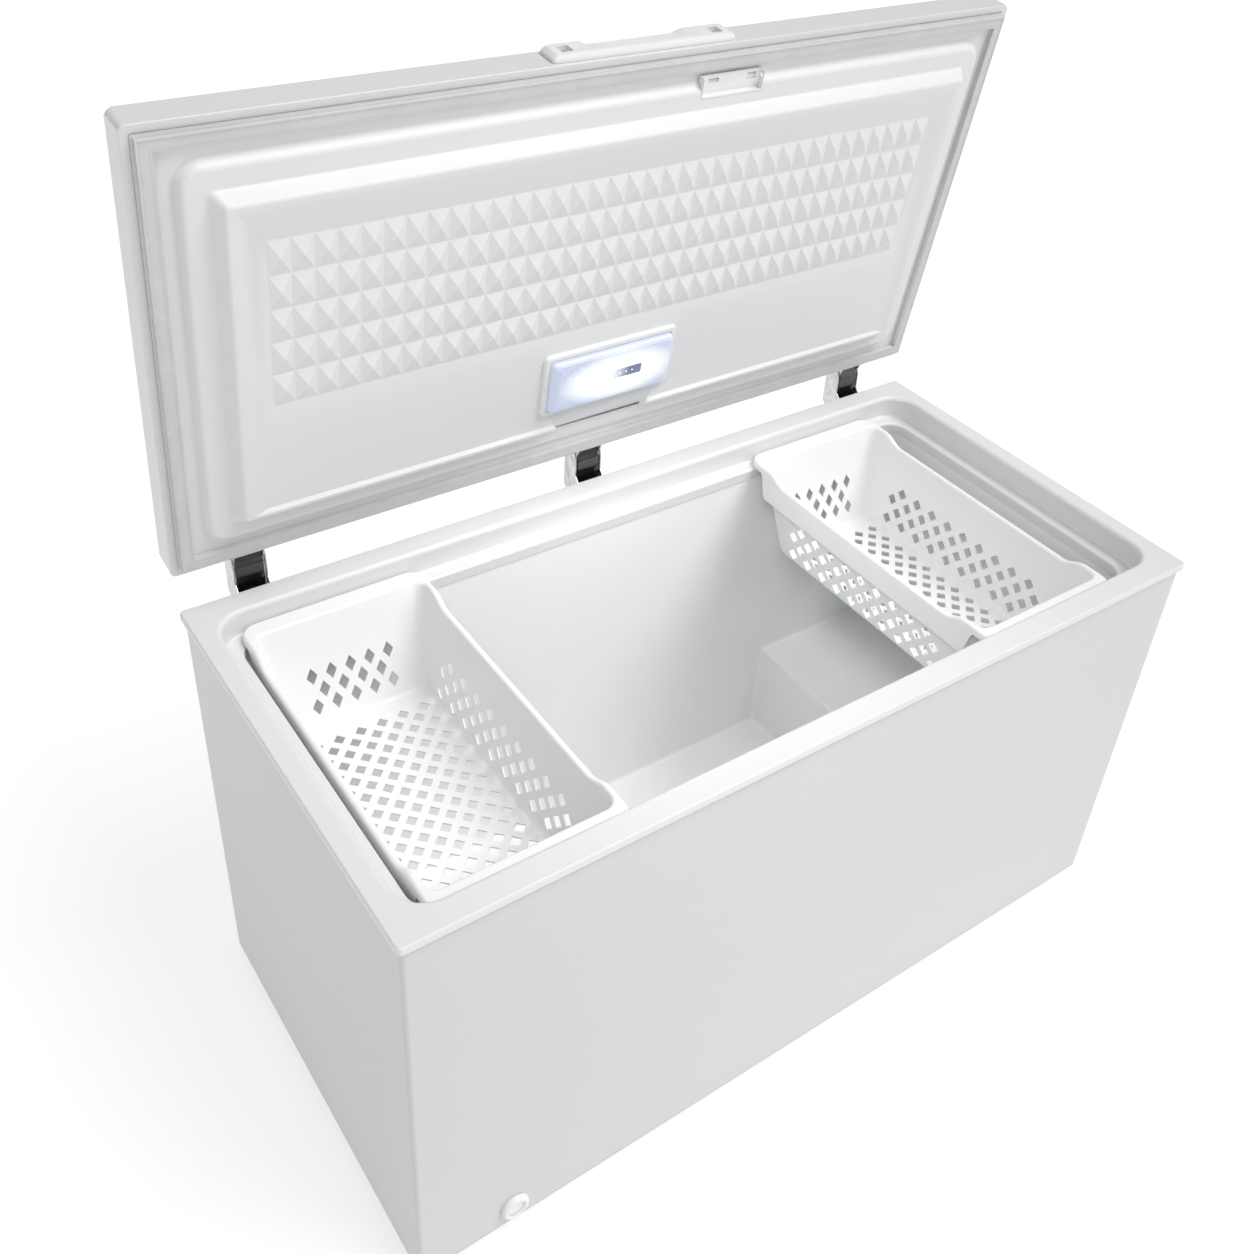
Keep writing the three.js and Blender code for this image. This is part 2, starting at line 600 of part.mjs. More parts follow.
// pocket that is widest at height u1 and narrows down to height u0
function pocket(halfTop, s0Top, s1Top, halfFloor, s0Floor, s1Floor, u0, u1) {
  const floor = [[-halfFloor, s0Floor], [halfFloor, s0Floor], [halfFloor, s1Floor], [-halfFloor, s1Floor]];
  const top = [[-halfTop, s0Top], [halfTop, s0Top], [halfTop, s1Top], [-halfTop, s1Top]];
  const geometry = new THREE.BoxGeometry(1, 1, 1);
  const position = geometry.attributes.position;
  for (let i = 0; i < position.count; i += 1) {
    const ring = position.getZ(i) > 0 ? floor : top;
    const corner = (position.getY(i) > 0 ? 0 : 2) + ((position.getX(i) > 0) === (position.getY(i) > 0) ? 1 : 0);
    const [x, s] = ring[corner];
    position.setXYZ(i, x, rear - s, near - (position.getZ(i) > 0 ? u0 : u1));
  }
  return toSolid(geometry);
}

// sloping channel from the lamp down to the rear margin
function lampRamp(grow) {
  const lampMid = lampOffset;
  const shape = new THREE.Shape([
    new THREE.Vector2(lampMid - 98 - grow, rear - lampStart - grow),
    new THREE.Vector2(lampMid + 98 + grow, rear - lampStart - grow),
    new THREE.Vector2(lampMid + 54 + grow, rear - plugOneBase + 14 + grow),
    new THREE.Vector2(lampMid - 54 - grow, rear - plugOneBase + 14 + grow),
  ]);
  const geometry = new THREE.ExtrudeGeometry(shape, { depth: 60, bevelEnabled: false, steps: 1 });
  const position = geometry.attributes.position;
  for (let i = 0; i < position.count; i += 1) {
    const s = rear - position.getY(i);
    const floor = 5 + (s - plugOneBase + 14) / (lampStart - plugOneBase + 14) * (plugTwoHeight - plainDepth - 5);
    const deep = position.getZ(i) > 1;
    position.setZ(i, near - (deep ? floor - grow : 80));
  }
  geometry.computeBoundingBox();
  return toSolid(geometry);
}

const pocketFront = plugOneTop + pocketDepth;      // distance from the lid's front edge

function latchNotch(grow) {
  return block(pocketStart - grow, pocketStart + pocketWidth + grow,
    rear - lidDepth + plugOneBase - 12, rear - lidDepth + pocketFront + grow,
    near - 80, near - 4 + grow);
}

function lidSkin() {
  const shell = slab(lidWidth, lidDepth, lidCorner, near + gap, lidOuter, 0, lidMiddle);
  const inside = slab(lidWidth - 2 * sheet, lidDepth - 2 * sheet, fillet(lidCorner, sheet),
    near + gap + sheet, lidOuter - sheet, 0, lidMiddle);
  const mouth = slab(lidWidth - 2 * lidFlange, lidDepth - 2 * lidFlange, 3, near - 1, near + 2, 0, lidMiddle);
  return shell.subtract(inside).subtract(mouth);
}

const slabTop = near + sheet + 2 * gap;            // face of the lid's foam, behind the flange

function lidFoam() {
  const slabPart = slab(lidWidth - 2 * sheet - 1, lidDepth - 2 * sheet - 1, lidCorner - 1.5, slabTop,
    lidOuter - sheet - gap, 0, lidMiddle);
  const plug = slab(lidWidth - 2 * plugTwoBase - 20, lidDepth - lampStart - plugTwoBase - 20, 20,
    near - plugOneHeight + panelSheet + 2, slabTop + 1, 0, rear - (lampStart + lidDepth - plugTwoBase) / 2);
  return slabPart.add(plug);
}

function innerPanel() {
  const board = slab(lidWidth - 2 * panelMargin, lidDepth - 2 * panelMargin, 3, near - panelSheet, near,
    0, lidMiddle);
  const stepOne = plugStep(plugOneBase, plugOneTop, 0.5, plugOneHeight, 34);
  const stepTwo = plugStep(plugTwoBase, plugTwoTop, plugOneHeight - 0.5, plugTwoHeight, 7);
  const rim = plugTwoTop + recessRim;
  const half = lidWidth / 2 - rim;
  const plainU = plugTwoHeight - plainDepth;
  const patternU = plugTwoHeight - patternDepth;
  const plain = pocket(half + 0.5, rim - 8, lidDepth - rim, plainWidth / 2, rim - 2, patternStart + patternHeight + 22,
    plainU, plugTwoHeight + 0.1);
  const pattern = pocket(plainWidth / 2, plainEnd, patternStart + patternHeight + 22, patternWidth / 2, patternStart,
    patternStart + patternHeight, patternU, plainU + 0.1);
  const hollowOne = plugStep(plugOneBase + 2, plugOneTop + 2, -1, plugOneHeight - panelSheet, 32);
  const hollowTwo = plugStep(plugTwoBase + 2, plugTwoTop + 2, plugOneHeight - panelSheet - 1,
    patternU - panelSheet, 6);
  const hollow = hollowOne.add(hollowTwo).subtract(lampRamp(panelSheet)).subtract(latchNotch(panelSheet));
  return board.add(stepOne).add(stepTwo).subtract(plain).subtract(pattern)
    .subtract(lampRamp(0)).subtract(latchNotch(0)).subtract(hollow);
}

function gasket() {
  const outer = { w: lidWidth - 2 * gasketInset, d: lidDepth - 2 * gasketInset };
  const ring = (u0, u1, inset) => slab(outer.w - 2 * inset, outer.d - 2 * inset, 1, near - u1, near - u0, 0, lidMiddle, 1)
    .subtract(slab(outer.w - 2 * gasketWidth + 2 * inset, outer.d - 2 * gasketWidth + 2 * inset, 1,
      near - u1 - 1, near - u0 + 1, 0, lidMiddle, 1));
  return ring(gasketSeat, gasketProud - 2, 0).add(ring(gasketProud - 3, gasketProud, 2));
}

function handle() {
  const front = rear - lidDepth - gap;
  const middle = near + lidThickness / 2 + 1.5;
  const plate = slab(handleLength, handleHeight, 6, 0, handleProud)
    .rotate([90, 0, 0]).translate(0, front, middle);
  const scoop = drafted(166, handleHeight, 5, 0, handleProud - 3, 14, 5)
    .rotate([-90, 0, 0]).translate(-8, front - handleProud - 0.01, middle + 9);
  const cavity = (x) => block(x - 9, x + 9, front - handleProud - 1, front - 2.5, middle - 9, middle + 9);
  return plate.subtract(scoop).subtract(cavity(-handleScrewSpacing / 2)).subtract(cavity(handleScrewSpacing / 2));
}

function handleScrew(x) {
  const front = rear - lidDepth - gap;
  const middle = near + lidThickness / 2 + 1.5;
  return cylinder(5, point(x, front - 6, middle), point(x, front - 2.8, middle), 20)
    .subtract(block(x - 4, x + 4, front - 8, front - 4.6, middle - 0.7, middle + 0.7))
    .subtract(block(x - 0.7, x + 0.7, front - 8, front - 4.6, middle - 4, middle + 4));
}

// small tray that lines the notch for the catch
function latchPocket() {
  const y0 = rear - lidDepth + plugOneBase - 8;
  const y1 = rear - lidDepth + pocketFront - gap;
  const x0 = pocketStart + gap;
  const x1 = pocketStart + pocketWidth - gap;
  const top = near - 4 - gap;
  const depth = plugOneHeight - 4;
  return block(x0, x1, y0, y1, top - depth, top)
    .subtract(block(x0 + 2, x1 - 2, y0 - 1, y1 - 2, top - depth - 1, top - 2))
    .subtract(block(x0 + 16, x0 + 34, y0 + 6, y0 + 12, top - 5, top + 1))
    .subtract(block(x1 - 24, x1 - 8, y0 + 5, y0 + 15, top - 5, top + 1))
    .subtract(block(x1 - 4, x1 + 1, y0 + 6, y0 + 16, top - depth + 3, top - 3));
}

const lampFloor = near - plugTwoHeight + plainDepth;
const lampY = rear - lampStart - lampHeight / 2 - 4;

function lampHousing() {
  return slab(lampWidth, lampHeight, 10, lampFloor - lampBase, lampFloor - gap, lampOffset, lampY)
    .subtract(slab(lampWidth - 16, lampHeight - 18, 6, lampFloor - lampBase - 1, lampFloor - 3, lampOffset, lampY));
}

function lampLens() {
  const top = lampFloor - lampBase + 3;
  const outer = drafted(lampWidth - 18, lampHeight - 20, 6, 0, lensHeight, 8, 6)
    .rotate([180, 0, 0]).translate(lampOffset, lampY, top);
  const inner = drafted(lampWidth - 22, lampHeight - 24, 4, -1, lensHeight - 2, 8, 6)
    .rotate([180, 0, 0]).translate(lampOffset, lampY, top);
  return outer.subtract(inner);
}

function ledBoard() {
  const top = lampFloor - 3 - gap;
  let board = block(lampOffset - 30, lampOffset + 30, lampY - 8, lampY + 8, top - 1.6, top);
  for (let i = -1; i <= 1; i += 1) {
    board = board.add(block(lampOffset + i * 16 - 2.5, lampOffset + i * 16 + 2.5, lampY - 2.5, lampY + 2.5,
      top - 2.8, top - 1));
  }
  return board;
}

add(lid, 'lid_skin', lidSkin(), whitePaint);
add(lid, 'lid_foam', lidFoam(), foam);
add(lid, 'lid_inner_panel', innerPanel(), whitePlastic);
add(lid, 'lid_gasket', gasket(), gasketRubber);
add(lid, 'handle', handle(), whitePlastic);
add(lid, 'handle_screw_left', handleScrew(-handleScrewSpacing / 2), steel);
add(lid, 'handle_screw_right', handleScrew(handleScrewSpacing / 2), steel);
add(lid, 'latch_pocket', latchPocket(), whitePlastic);
add(lid, 'lamp_housing', lampHousing(), whitePlastic);
add(lid, 'lamp_lens', lampLens(), lensPlastic);
add(lid, 'led_board', ledBoard(), boardGreen);
add(lid, 'tilt_switch', block(lampOffset + 45, lampOffset + 65, lampY - 6, lampY + 6,
  lampFloor - 3 - gap - 6, lampFloor - 3 - gap), steel);

// ---- hinges ------------------------------------------------------------------------------

const bracketHalf = hingeWidth / 2;
const leafHalf = bracketHalf - hingeSheet - 0.5;
const coverHalf = bracketHalf - hingeSheet - hingeSlot;
const leafSheet = 2;
const knuckle = 9;
const hingeFace = hingeY - hingeFront;
const hingeRear = hingeY + hingeBack;
const webZ = cabinetHeight - 39;
const pinBore = cylinder(pinRadius + 0.15, point(-60, hingeY, hingeZ), point(60, hingeY, hingeZ), 20);

// channel screwed to the rear panel, its two cheeks carry the pin
function hingeBracket() {
  const bottom = cabinetHeight - bracketHeight;
  const plateTop = cabinetHeight - lipHeight - 2;
  const face = bodyBack + gap;
  const cheek = sideProfile([
    [face + 1, bottom + 8], [face + 1, plateTop], [bodyBack + lipOverhang + 1, plateTop],
    [hingeFace, cabinetHeight + 1], [hingeFace, hingeZ - 2], [hingeFace + 6, hingeZ + hingeTop],
    [hingeY + 12, hingeZ + hingeTop], [hingeRear, hingeZ + 10], [hingeRear, webZ + 10],
    [hingeRear - 10, webZ], [hingeRear - 10, bottom + 50],
  ], bracketHalf - hingeSheet, bracketHalf);
  const plate = block(-bracketHalf - 8, bracketHalf + 8, face, face + hingeSheet, bottom, plateTop);
  const web = block(-bracketHalf + 1, bracketHalf - 1, face + 1, hingeRear - 10, webZ - hingeSheet, webZ);
  return plate.add(cheek).add(cheek.mirror([1, 0, 0])).add(web).subtract(pinBore);
}

// glossy cap over the spring: upright front, then a facet that leans back
function hingeCover() {
  const outline = (wall) => [
    [hingeFace + wall, webZ + gap - 3 * wall], [hingeFace + wall, hingeZ - 2],
    [hingeFace + 6 + wall, hingeZ + hingeTop - wall], [hingeY + 12 - wall, hingeZ + hingeTop - wall],
    [hingeRear - 1 - wall, hingeZ + 10 - wall], [hingeRear - 1 - wall, webZ + 12],
    [hingeRear - 10 - wall, webZ + gap - 3 * wall],
  ];
  return sideProfile(outline(0), -coverHalf, coverHalf)
    .subtract(sideProfile(outline(1.5), -coverHalf + 1.5, coverHalf - 1.5))
    .subtract(cylinder(pinRadius + 0.4, point(-60, hingeY, hingeZ), point(60, hingeY, hingeZ), 20));
}

function hingePin() {
  return cylinder(pinRadius, point(-bracketHalf - 0.5, hingeY, hingeZ), point(bracketHalf + 1, hingeY, hingeZ), 20)
    .add(cylinder(pinRadius + 2, point(bracketHalf + gap, hingeY, hingeZ),
      point(bracketHalf + gap + 1.5, hingeY, hingeZ), 20));
}

function hingeSpring() {
  const length = springTurns * (springWire + 0.9);
  return tube(Array.from({ length: springTurns * 10 + 1 }, (_, i) => {
    const turn = i / 10 * 2 * Math.PI;
    return point(-length / 2 + length * i / (springTurns * 10),
      hingeY + springRadius * Math.cos(turn), hingeZ + springRadius * Math.sin(turn));
  }), springWire / 2, 6);
}

// U-shaped leaf on the lid's rear edge, drawn in the lid's own frame
function hingeLeaf() {
  const plate = block(-leafHalf, leafHalf, rear + gap, rear + gap + leafSheet, near + 3, lidOuter - 3);
  const leg = sideProfile([
    [rear + gap + 0.5, near + 4], [rear + gap + 0.5, near + 30],
    ...Array.from({ length: 9 }, (_, i) => {
      const turn = (75 - 25 * i) * Math.PI / 180;
      return [knuckle * Math.cos(turn), knuckle * Math.sin(turn)];
    }),
  ], leafHalf - leafSheet, leafHalf);
  return plate.add(leg).add(leg.mirror([1, 0, 0]))
    .subtract(cylinder(pinRadius + 0.15, point(-60, 0, 0), point(60, 0, 0), 20));
}

['left', 'centre', 'right'].forEach((side, i) => {
  const x = (i - 1) * hingeSpacing;
  add(cabinet, `hinge_bracket_${side}`, hingeBracket(), whitePaint).position.x = x;
  add(cabinet, `hinge_cover_${side}`, hingeCover(), blackGloss).position.x = x;
  add(cabinet, `hinge_pin_${side}`, hingePin(), steel).position.x = x;
  add(cabinet, `hinge_spring_${side}`, hingeSpring(), steel).position.x = x;
  add(lid, `hinge_leaf_${side}`, hingeLeaf(), whitePaint).position.x = x;
});

// ---- assembly ----------------------------------------------------------------------------

lid.position.set(0, hingeY, hingeZ);
lid.rotation.x = -lidOpenDegrees * Math.PI / 180;

const freezer = new THREE.Group();
freezer.add(cabinet, lid);
freezer.updateMatrixWorld(true);
const extent = new THREE.Box3().setFromObject(freezer, true);
freezer.position.set(-(extent.min.x + extent.max.x) / 2, -(extent.min.y + extent.max.y) / 2, -extent.min.z);

export default freezer;
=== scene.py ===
import json
import math

import bmesh
import bpy
from mathutils import Matrix, Vector

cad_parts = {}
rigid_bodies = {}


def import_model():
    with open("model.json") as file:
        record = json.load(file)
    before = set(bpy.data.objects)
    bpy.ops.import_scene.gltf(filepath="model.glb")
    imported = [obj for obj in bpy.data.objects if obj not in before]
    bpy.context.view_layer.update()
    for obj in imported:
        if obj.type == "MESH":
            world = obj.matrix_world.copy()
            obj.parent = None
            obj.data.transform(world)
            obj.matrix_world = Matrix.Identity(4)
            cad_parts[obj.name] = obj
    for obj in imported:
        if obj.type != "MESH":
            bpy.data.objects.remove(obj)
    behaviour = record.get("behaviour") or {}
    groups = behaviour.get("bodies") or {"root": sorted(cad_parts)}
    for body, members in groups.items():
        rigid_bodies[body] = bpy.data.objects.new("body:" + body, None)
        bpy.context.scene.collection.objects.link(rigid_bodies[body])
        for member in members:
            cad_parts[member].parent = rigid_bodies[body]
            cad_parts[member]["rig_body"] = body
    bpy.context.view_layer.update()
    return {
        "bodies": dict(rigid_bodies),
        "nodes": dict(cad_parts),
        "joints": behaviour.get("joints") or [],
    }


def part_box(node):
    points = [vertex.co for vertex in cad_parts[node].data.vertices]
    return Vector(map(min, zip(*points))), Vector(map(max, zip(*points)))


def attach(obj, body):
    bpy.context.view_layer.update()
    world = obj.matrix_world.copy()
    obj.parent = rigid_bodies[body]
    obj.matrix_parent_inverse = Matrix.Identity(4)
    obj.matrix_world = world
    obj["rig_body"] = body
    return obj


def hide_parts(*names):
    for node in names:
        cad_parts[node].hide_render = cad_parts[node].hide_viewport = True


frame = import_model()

nodes = frame["nodes"]
mm = 0.001


# shader nodes written as expressions

class Wire:
    def __init__(self, finish, socket):
        self.finish, self.socket = finish, socket

    def maths(self, operation, a, b):
        return self.finish.node("ShaderNodeMath", {"operation": operation}, {0: a, 1: b})

    def __add__(self, other):
        return self.maths("ADD", self, other)

    def __radd__(self, other):
        return self.maths("ADD", other, self)

    def __sub__(self, other):
        return self.maths("SUBTRACT", self, other)

    def __rsub__(self, other):
        return self.maths("SUBTRACT", other, self)

    def __mul__(self, other):
        return self.maths("MULTIPLY", self, other)

    def __rmul__(self, other):
        return self.maths("MULTIPLY", other, self)

    def __truediv__(self, other):
        return self.maths("DIVIDE", self, other)

    def __rtruediv__(self, other):
        return self.maths("DIVIDE", other, self)


class Finish:
    # a material under construction; settled holds the shader sockets that are the same all over
    def __init__(self, name, settled=None):
        self.material = bpy.data.materials.new(name)
        self.material.use_nodes = True
        self.tree = self.material.node_tree
        self.tree.nodes.clear()
        self.shader = self.tree.nodes.new("ShaderNodeBsdfPrincipled")
        output = self.tree.nodes.new("ShaderNodeOutputMaterial")
        self.tree.links.new(self.shader.outputs[0], output.inputs["Surface"])
        for socket, value in (settled or {}).items():
            self.shader.inputs[socket].default_value = value
        self.coords = self.node("ShaderNodeTexCoord", output="Object")

    def node(self, kind, settings=None, inputs=None, output=0):
        made = self.tree.nodes.new(kind)
        for key, value in (settings or {}).items():
            if key == "stops":
                while len(made.color_ramp.elements) < len(value):
                    made.color_ramp.elements.new(0.5)
                for element, (place, colour) in zip(made.color_ramp.elements, value):
                    element.position, element.color = place, colour
            else:
                setattr(made, key, value)
        self.join(made, inputs or {})
        return Wire(self, made.outputs[output])

    def join(self, node, inputs):
        for key, value in inputs.items():
            if isinstance(value, Wire):
                self.tree.links.new(value.socket, node.inputs[key])
            else:
                node.inputs[key].default_value = value

    def set(self, inputs):
        self.join(self.shader, inputs)
        return self.material

    def noise(self, scale, detail=2.0, rough=0.5, vector=None):
        return self.node("ShaderNodeTexNoise", {}, {"Vector": vector or self.coords, "Scale": scale,
                                                    "Detail": detail, "Roughness": rough}, "Fac")

    def blend(self, factor, a, b):
        return self.node("ShaderNodeMix", {"data_type": "RGBA"}, {"Factor": factor, 6: a, 7: b}, 2)

    def ramp(self, factor, low, high):
        # 0 below low, 1 above high
        return self.node("ShaderNodeMapRange", {"clamp": True}, {"Value": factor, 1: low, 2: high, 3: 0.0, 4: 1.0})

    def bump(self, height, strength, distance, under=None):
        inputs = {"Height": height, "Strength": strength, "Distance": distance}
        if under is not None:
            inputs["Normal"] = under
        return self.node("ShaderNodeBump", {}, inputs)

    def axes(self):
        split = self.node("ShaderNodeSeparateXYZ", {}, {"Vector": self.coords}).socket.node
        return [Wire(self, split.outputs[i]) for i in range(3)]


def grey(value, tint=0.0):
    return (value * (1 - tint), value, value * (1 + tint), 1.0)


def paintFinish(name, shade, drop=0.97, peel=0.45):
    # baked enamel on steel sheet: orange peel, faint clouds, soft gloss
    f = Finish(name, {"Coat Weight": 0.2, "Coat Roughness": 0.12})
    cloud = f.noise(1.7, 3.0)
    fine = f.noise(260.0, 1.0)
    peelBump = f.bump(f.noise(150.0, 2.0), peel, 0.00012)
    waves = f.bump(f.noise(2.6, 1.0), 0.5, 0.0016, peelBump)
    return f.set({"Base Color": f.blend(cloud, grey(shade * drop, 0.006), grey(shade, 0.004)),
                  "Roughness": 0.3 + 0.09 * cloud + 0.04 * fine, "Normal": waves})


def mouldedFinish(name, shade, rough=0.4, tint=0.006, texture=0.35, soft=0.0):
    # injection moulded plastic with a fine spark-eroded grain
    f = Finish(name, {"Subsurface Weight": soft, "Subsurface Radius": (0.004, 0.004, 0.004), "IOR": 1.49})
    cloud = f.noise(3.1, 2.0)
    grain = f.bump(f.noise(1500.0, 1.0), texture, 0.00006)
    sink = f.bump(f.noise(7.0, 1.0), 0.35, 0.0007, grain)
    return f.set({"Base Color": f.blend(cloud, grey(shade * 0.975, tint), grey(shade, tint)),
                  "Roughness": rough + 0.08 * cloud, "Normal": sink})


def linerFinish():
    # coated aluminium sheet pressed into the cavity: vertical drawing lines and slow waves
    f = Finish("coated_aluminium", {"Coat Weight": 0.15, "Coat Roughness": 0.2})
    drawn = f.node("ShaderNodeVectorMath", {"operation": "MULTIPLY"}, {0: f.coords, 1: (90.0, 90.0, 2.0)})
    lines = f.noise(1.0, 2.0, vector=drawn)
    cloud = f.noise(2.2, 2.0)
    bump = f.bump(lines, 0.25, 0.00008)
    waves = f.bump(f.noise(3.2, 1.0), 0.6, 0.003, bump)
    return f.set({"Base Color": f.blend(cloud, grey(0.86, 0.006), grey(0.90, 0.004)),
                  "Roughness": 0.34 + 0.1 * lines, "Normal": waves})


def rubberFinish(name, shade, rough=0.6, scuff=0.06):
    f = Finish(name, {"IOR": 1.45})
    marks = f.ramp(f.noise(24.0, 4.0, 0.65), 0.42, 0.7)
    grain = f.bump(f.noise(900.0, 2.0), 0.4, 0.00008)
    return f.set({"Base Color": f.blend(marks, grey(shade, 0.004), grey(min(shade * 1.07 + scuff * 0.1, 0.95), 0.004)),
                  "Roughness": rough + 0.12 * marks, "Normal": grain})


def blackFinish(name, shade, rough, gloss):
    f = Finish(name, {"Coat Weight": gloss, "Coat Roughness": 0.03})
    smear = f.ramp(f.noise(38.0, 4.0, 0.6), 0.45, 0.75)
    dust = f.ramp(f.noise(420.0, 2.0), 0.62, 0.8)
    skin = f.bump(f.noise(120.0, 1.0), 0.25, 0.0001)
    return f.set({"Base Color": f.blend(dust * 0.12, grey(shade), grey(0.12)),
                  "Roughness": rough + 0.1 * smear + 0.12 * dust, "Normal": skin})


def zincFinish():
    # galvanised sheet: spangle of flat crystals, each a little lighter or duller
    f = Finish("zinc_plate", {"Metallic": 1.0})
    cells = f.node("ShaderNodeTexVoronoi", {"feature": "F1"}, {"Vector": f.coords, "Scale": 130.0}, "Color")
    tone = f.node("ShaderNodeSeparateColor", {}, {"Color": cells})
    scratch = f.noise(60.0, 5.0, 0.7)
    return f.set({"Base Color": f.blend(tone, grey(0.56, 0.01), grey(0.76, 0.006)),
                  "Roughness": 0.24 + 0.16 * tone + 0.1 * scratch, "Normal": f.bump(scratch, 0.2, 0.0001)})


def copperFinish():
    f = Finish("copper_tube", {"Metallic": 1.0})
    tarnish = f.ramp(f.noise(18.0, 4.0, 0.6), 0.4, 0.68)
    return f.set({"Base Color": f.blend(tarnish, (0.83, 0.42, 0.25, 1), (0.38, 0.17, 0.10, 1)),
                  "Roughness": 0.24 + 0.3 * tarnish, "Normal": f.bump(f.noise(200.0), 0.2, 0.0001)})


def foamFinish():
    # sprayed polyurethane: closed cells, yellowed
    f = Finish("poured_foam")
    cells = f.node("ShaderNodeTexVoronoi", {"feature": "F1"}, {"Vector": f.coords, "Scale": 340.0}, "Distance")
    cloud = f.noise(9.0, 4.0)
    return f.set({"Base Color": f.blend(cloud, (0.74, 0.62, 0.33, 1), (0.86, 0.78, 0.52, 1)),
                  "Roughness": 0.85 + 0.1 * cloud, "Normal": f.bump(cells, 0.6, 0.0012)})


def boardFinish():
    f = Finish("lamp_board")
    tracks = f.ramp(f.noise(320.0, 0.0), 0.55, 0.57)
    return f.set({"Base Color": f.blend(tracks, (0.55, 0.62, 0.68, 1), (0.80, 0.84, 0.86, 1)),
                  "Roughness": 0.35 + 0.2 * tracks, "Normal": f.bump(tracks, 0.3, 0.00004)})


paint = paintFinish("baked_white_paint", 0.61)
lidPaint = paintFinish("baked_white_lid", 0.72)
collarPlastic = mouldedFinish("collar_plastic", 0.74, 0.36)
panelPlastic = mouldedFinish("panel_plastic", 0.78, 0.42, texture=0.25)
basketPlastic = mouldedFinish("basket_plastic", 0.86, 0.34, texture=0.2, soft=0.08)
trimPlastic = mouldedFinish("trim_plastic", 0.82, 0.36)
linerSheet = linerFinish()
gasketVinyl = rubberFinish("gasket_vinyl", 0.60, 0.5)
blackRubber = rubberFinish("black_rubber", 0.022, 0.7, 0.12)
hingeBlack = blackFinish("hinge_black", 0.006, 0.05, 1.0)
panBlack = blackFinish("pan_black", 0.012, 0.32, 0.3)
zinc = zincFinish()
copper = copperFinish()
foamYellow = foamFinish()
board = boardFinish()
print("finishes made:", len(bpy.data.materials))


# modelling helpers

def outline(bm, x0, x1, y0, y1, z, radius=0.0, segments=6):
    # flat face with rounded corners, the start of most pieces
    corners = [bm.verts.new((x, y, z)) for x, y in ((x0, y0), (x1, y0), (x1, y1), (x0, y1))]
    face = bm.faces.new(corners)
    if radius > 0:
        made = bmesh.ops.bevel(bm, geom=corners, offset=radius, offset_type="OFFSET", affect="VERTICES",
                               segments=segments, profile=0.5, material=-1)
        face = made["verts"][0].link_faces[0]
    return face


def grow(bm, verts, targets):
    # a new wall from a closed line of vertices out to the targets; returns the new line
    made = bmesh.ops.extrude_edge_only(bm, edges=lineEdges(verts))
    fresh = {v for v in made["geom"] if isinstance(v, bmesh.types.BMVert)}
    line = [next(e.other_vert(v) for e in v.link_edges if e.other_vert(v) in fresh) for v in verts]
    for v, target in zip(line, targets):
        v.co = target
    return line


def lineEdges(verts):
    return [next(e for e in v.link_edges if e.other_vert(v) == w) for v, w in zip(verts, verts[1:] + verts[:1])]


def loft(bm, rings, capStart=False, capEnd=False, closed=False):
    # walls between successive outlines; returns the line of vertices of each outline
    first = outline(bm, *rings[0])
    lines = [[corner.vert for corner in first.loops]]
    if not capStart:
        bmesh.ops.delete(bm, geom=[first], context="FACES_ONLY")
    for ring in rings[1:] + (rings[:1] if closed else []):
        pattern = bmesh.new()
        targets = [corner.vert.co.copy() for corner in outline(pattern, *ring).loops]
        pattern.free()
        lines.append(grow(bm, lines[-1], targets))
    if capEnd:
        bm.faces.new(lines[-1])
    return lines


def gather(bm, verts, x0, x1, y0, y1, z):
    # closes a line of vertices in to a plain rectangle; returns its edges, the ones along x first
    middle = sum((v.co for v in verts), Vector()) / len(verts)
    line = grow(bm, verts, [(x1 if v.co.x > middle.x else x0, y1 if v.co.y > middle.y else y0, z) for v in verts])
    bmesh.ops.remove_doubles(bm, verts=line, dist=1e-6)
    edges = list({e for v in bm.verts if abs(v.co.z - z) < 1e-7 for e in v.link_edges
                  if all(abs(w.co.z - z) < 1e-7 and (abs(w.co.x - x0) < 1e-7 or abs(w.co.x - x1) < 1e-7)
                         and (abs(w.co.y - y0) < 1e-7 or abs(w.co.y - y1) < 1e-7) for w in e.verts)})
    wide = [e for e in edges if abs(e.verts[0].co.y - e.verts[1].co.y) < 1e-6]
    return wide, [e for e in edges if e not in wide]


def soften(bm, edges, radius, segments=3):
    if isinstance(edges[0], bmesh.types.BMVert):
        edges = lineEdges(edges)
    bmesh.ops.bevel(bm, geom=edges, offset=radius, offset_type="OFFSET", affect="EDGES",
                    segments=segments, profile=0.5, material=-1, clamp_overlap=False)


def edgesWhere(bm, test):
    return [e for e in bm.edges if test(e.verts[0].co) and test(e.verts[1].co)]


def settle(bm, direction=None):
    # merges doubles and points the faces outwards; direction names the side that must face out
    bmesh.ops.remove_doubles(bm, verts=bm.verts, dist=1e-6)
    bmesh.ops.recalc_face_normals(bm, faces=bm.faces)
    if direction is not None:
        way = Vector(direction)
        far = max(bm.faces, key=lambda f: f.calc_center_median().dot(way))
        if far.normal.dot(way) < 0:
            bmesh.ops.reverse_faces(bm, faces=bm.faces)


def prism(bm, points, x0, x1):
    # a side outline in y and z, drawn out along x
    face = bm.faces.new([bm.verts.new((x0, y, z)) for y, z in points])
    made = bmesh.ops.extrude_face_region(bm, geom=[face])
    moved = [v for v in made["geom"] if isinstance(v, bmesh.types.BMVert)]
    bmesh.ops.translate(bm, verts=moved, vec=(x1 - x0, 0, 0))


def cuboid(bm, lo, hi):
    size = Vector(hi) - Vector(lo)
    place = Matrix.Translation((Vector(lo) + Vector(hi)) / 2) @ Matrix.Diagonal((*size, 1))
    bmesh.ops.create_cube(bm, size=1.0, matrix=place)


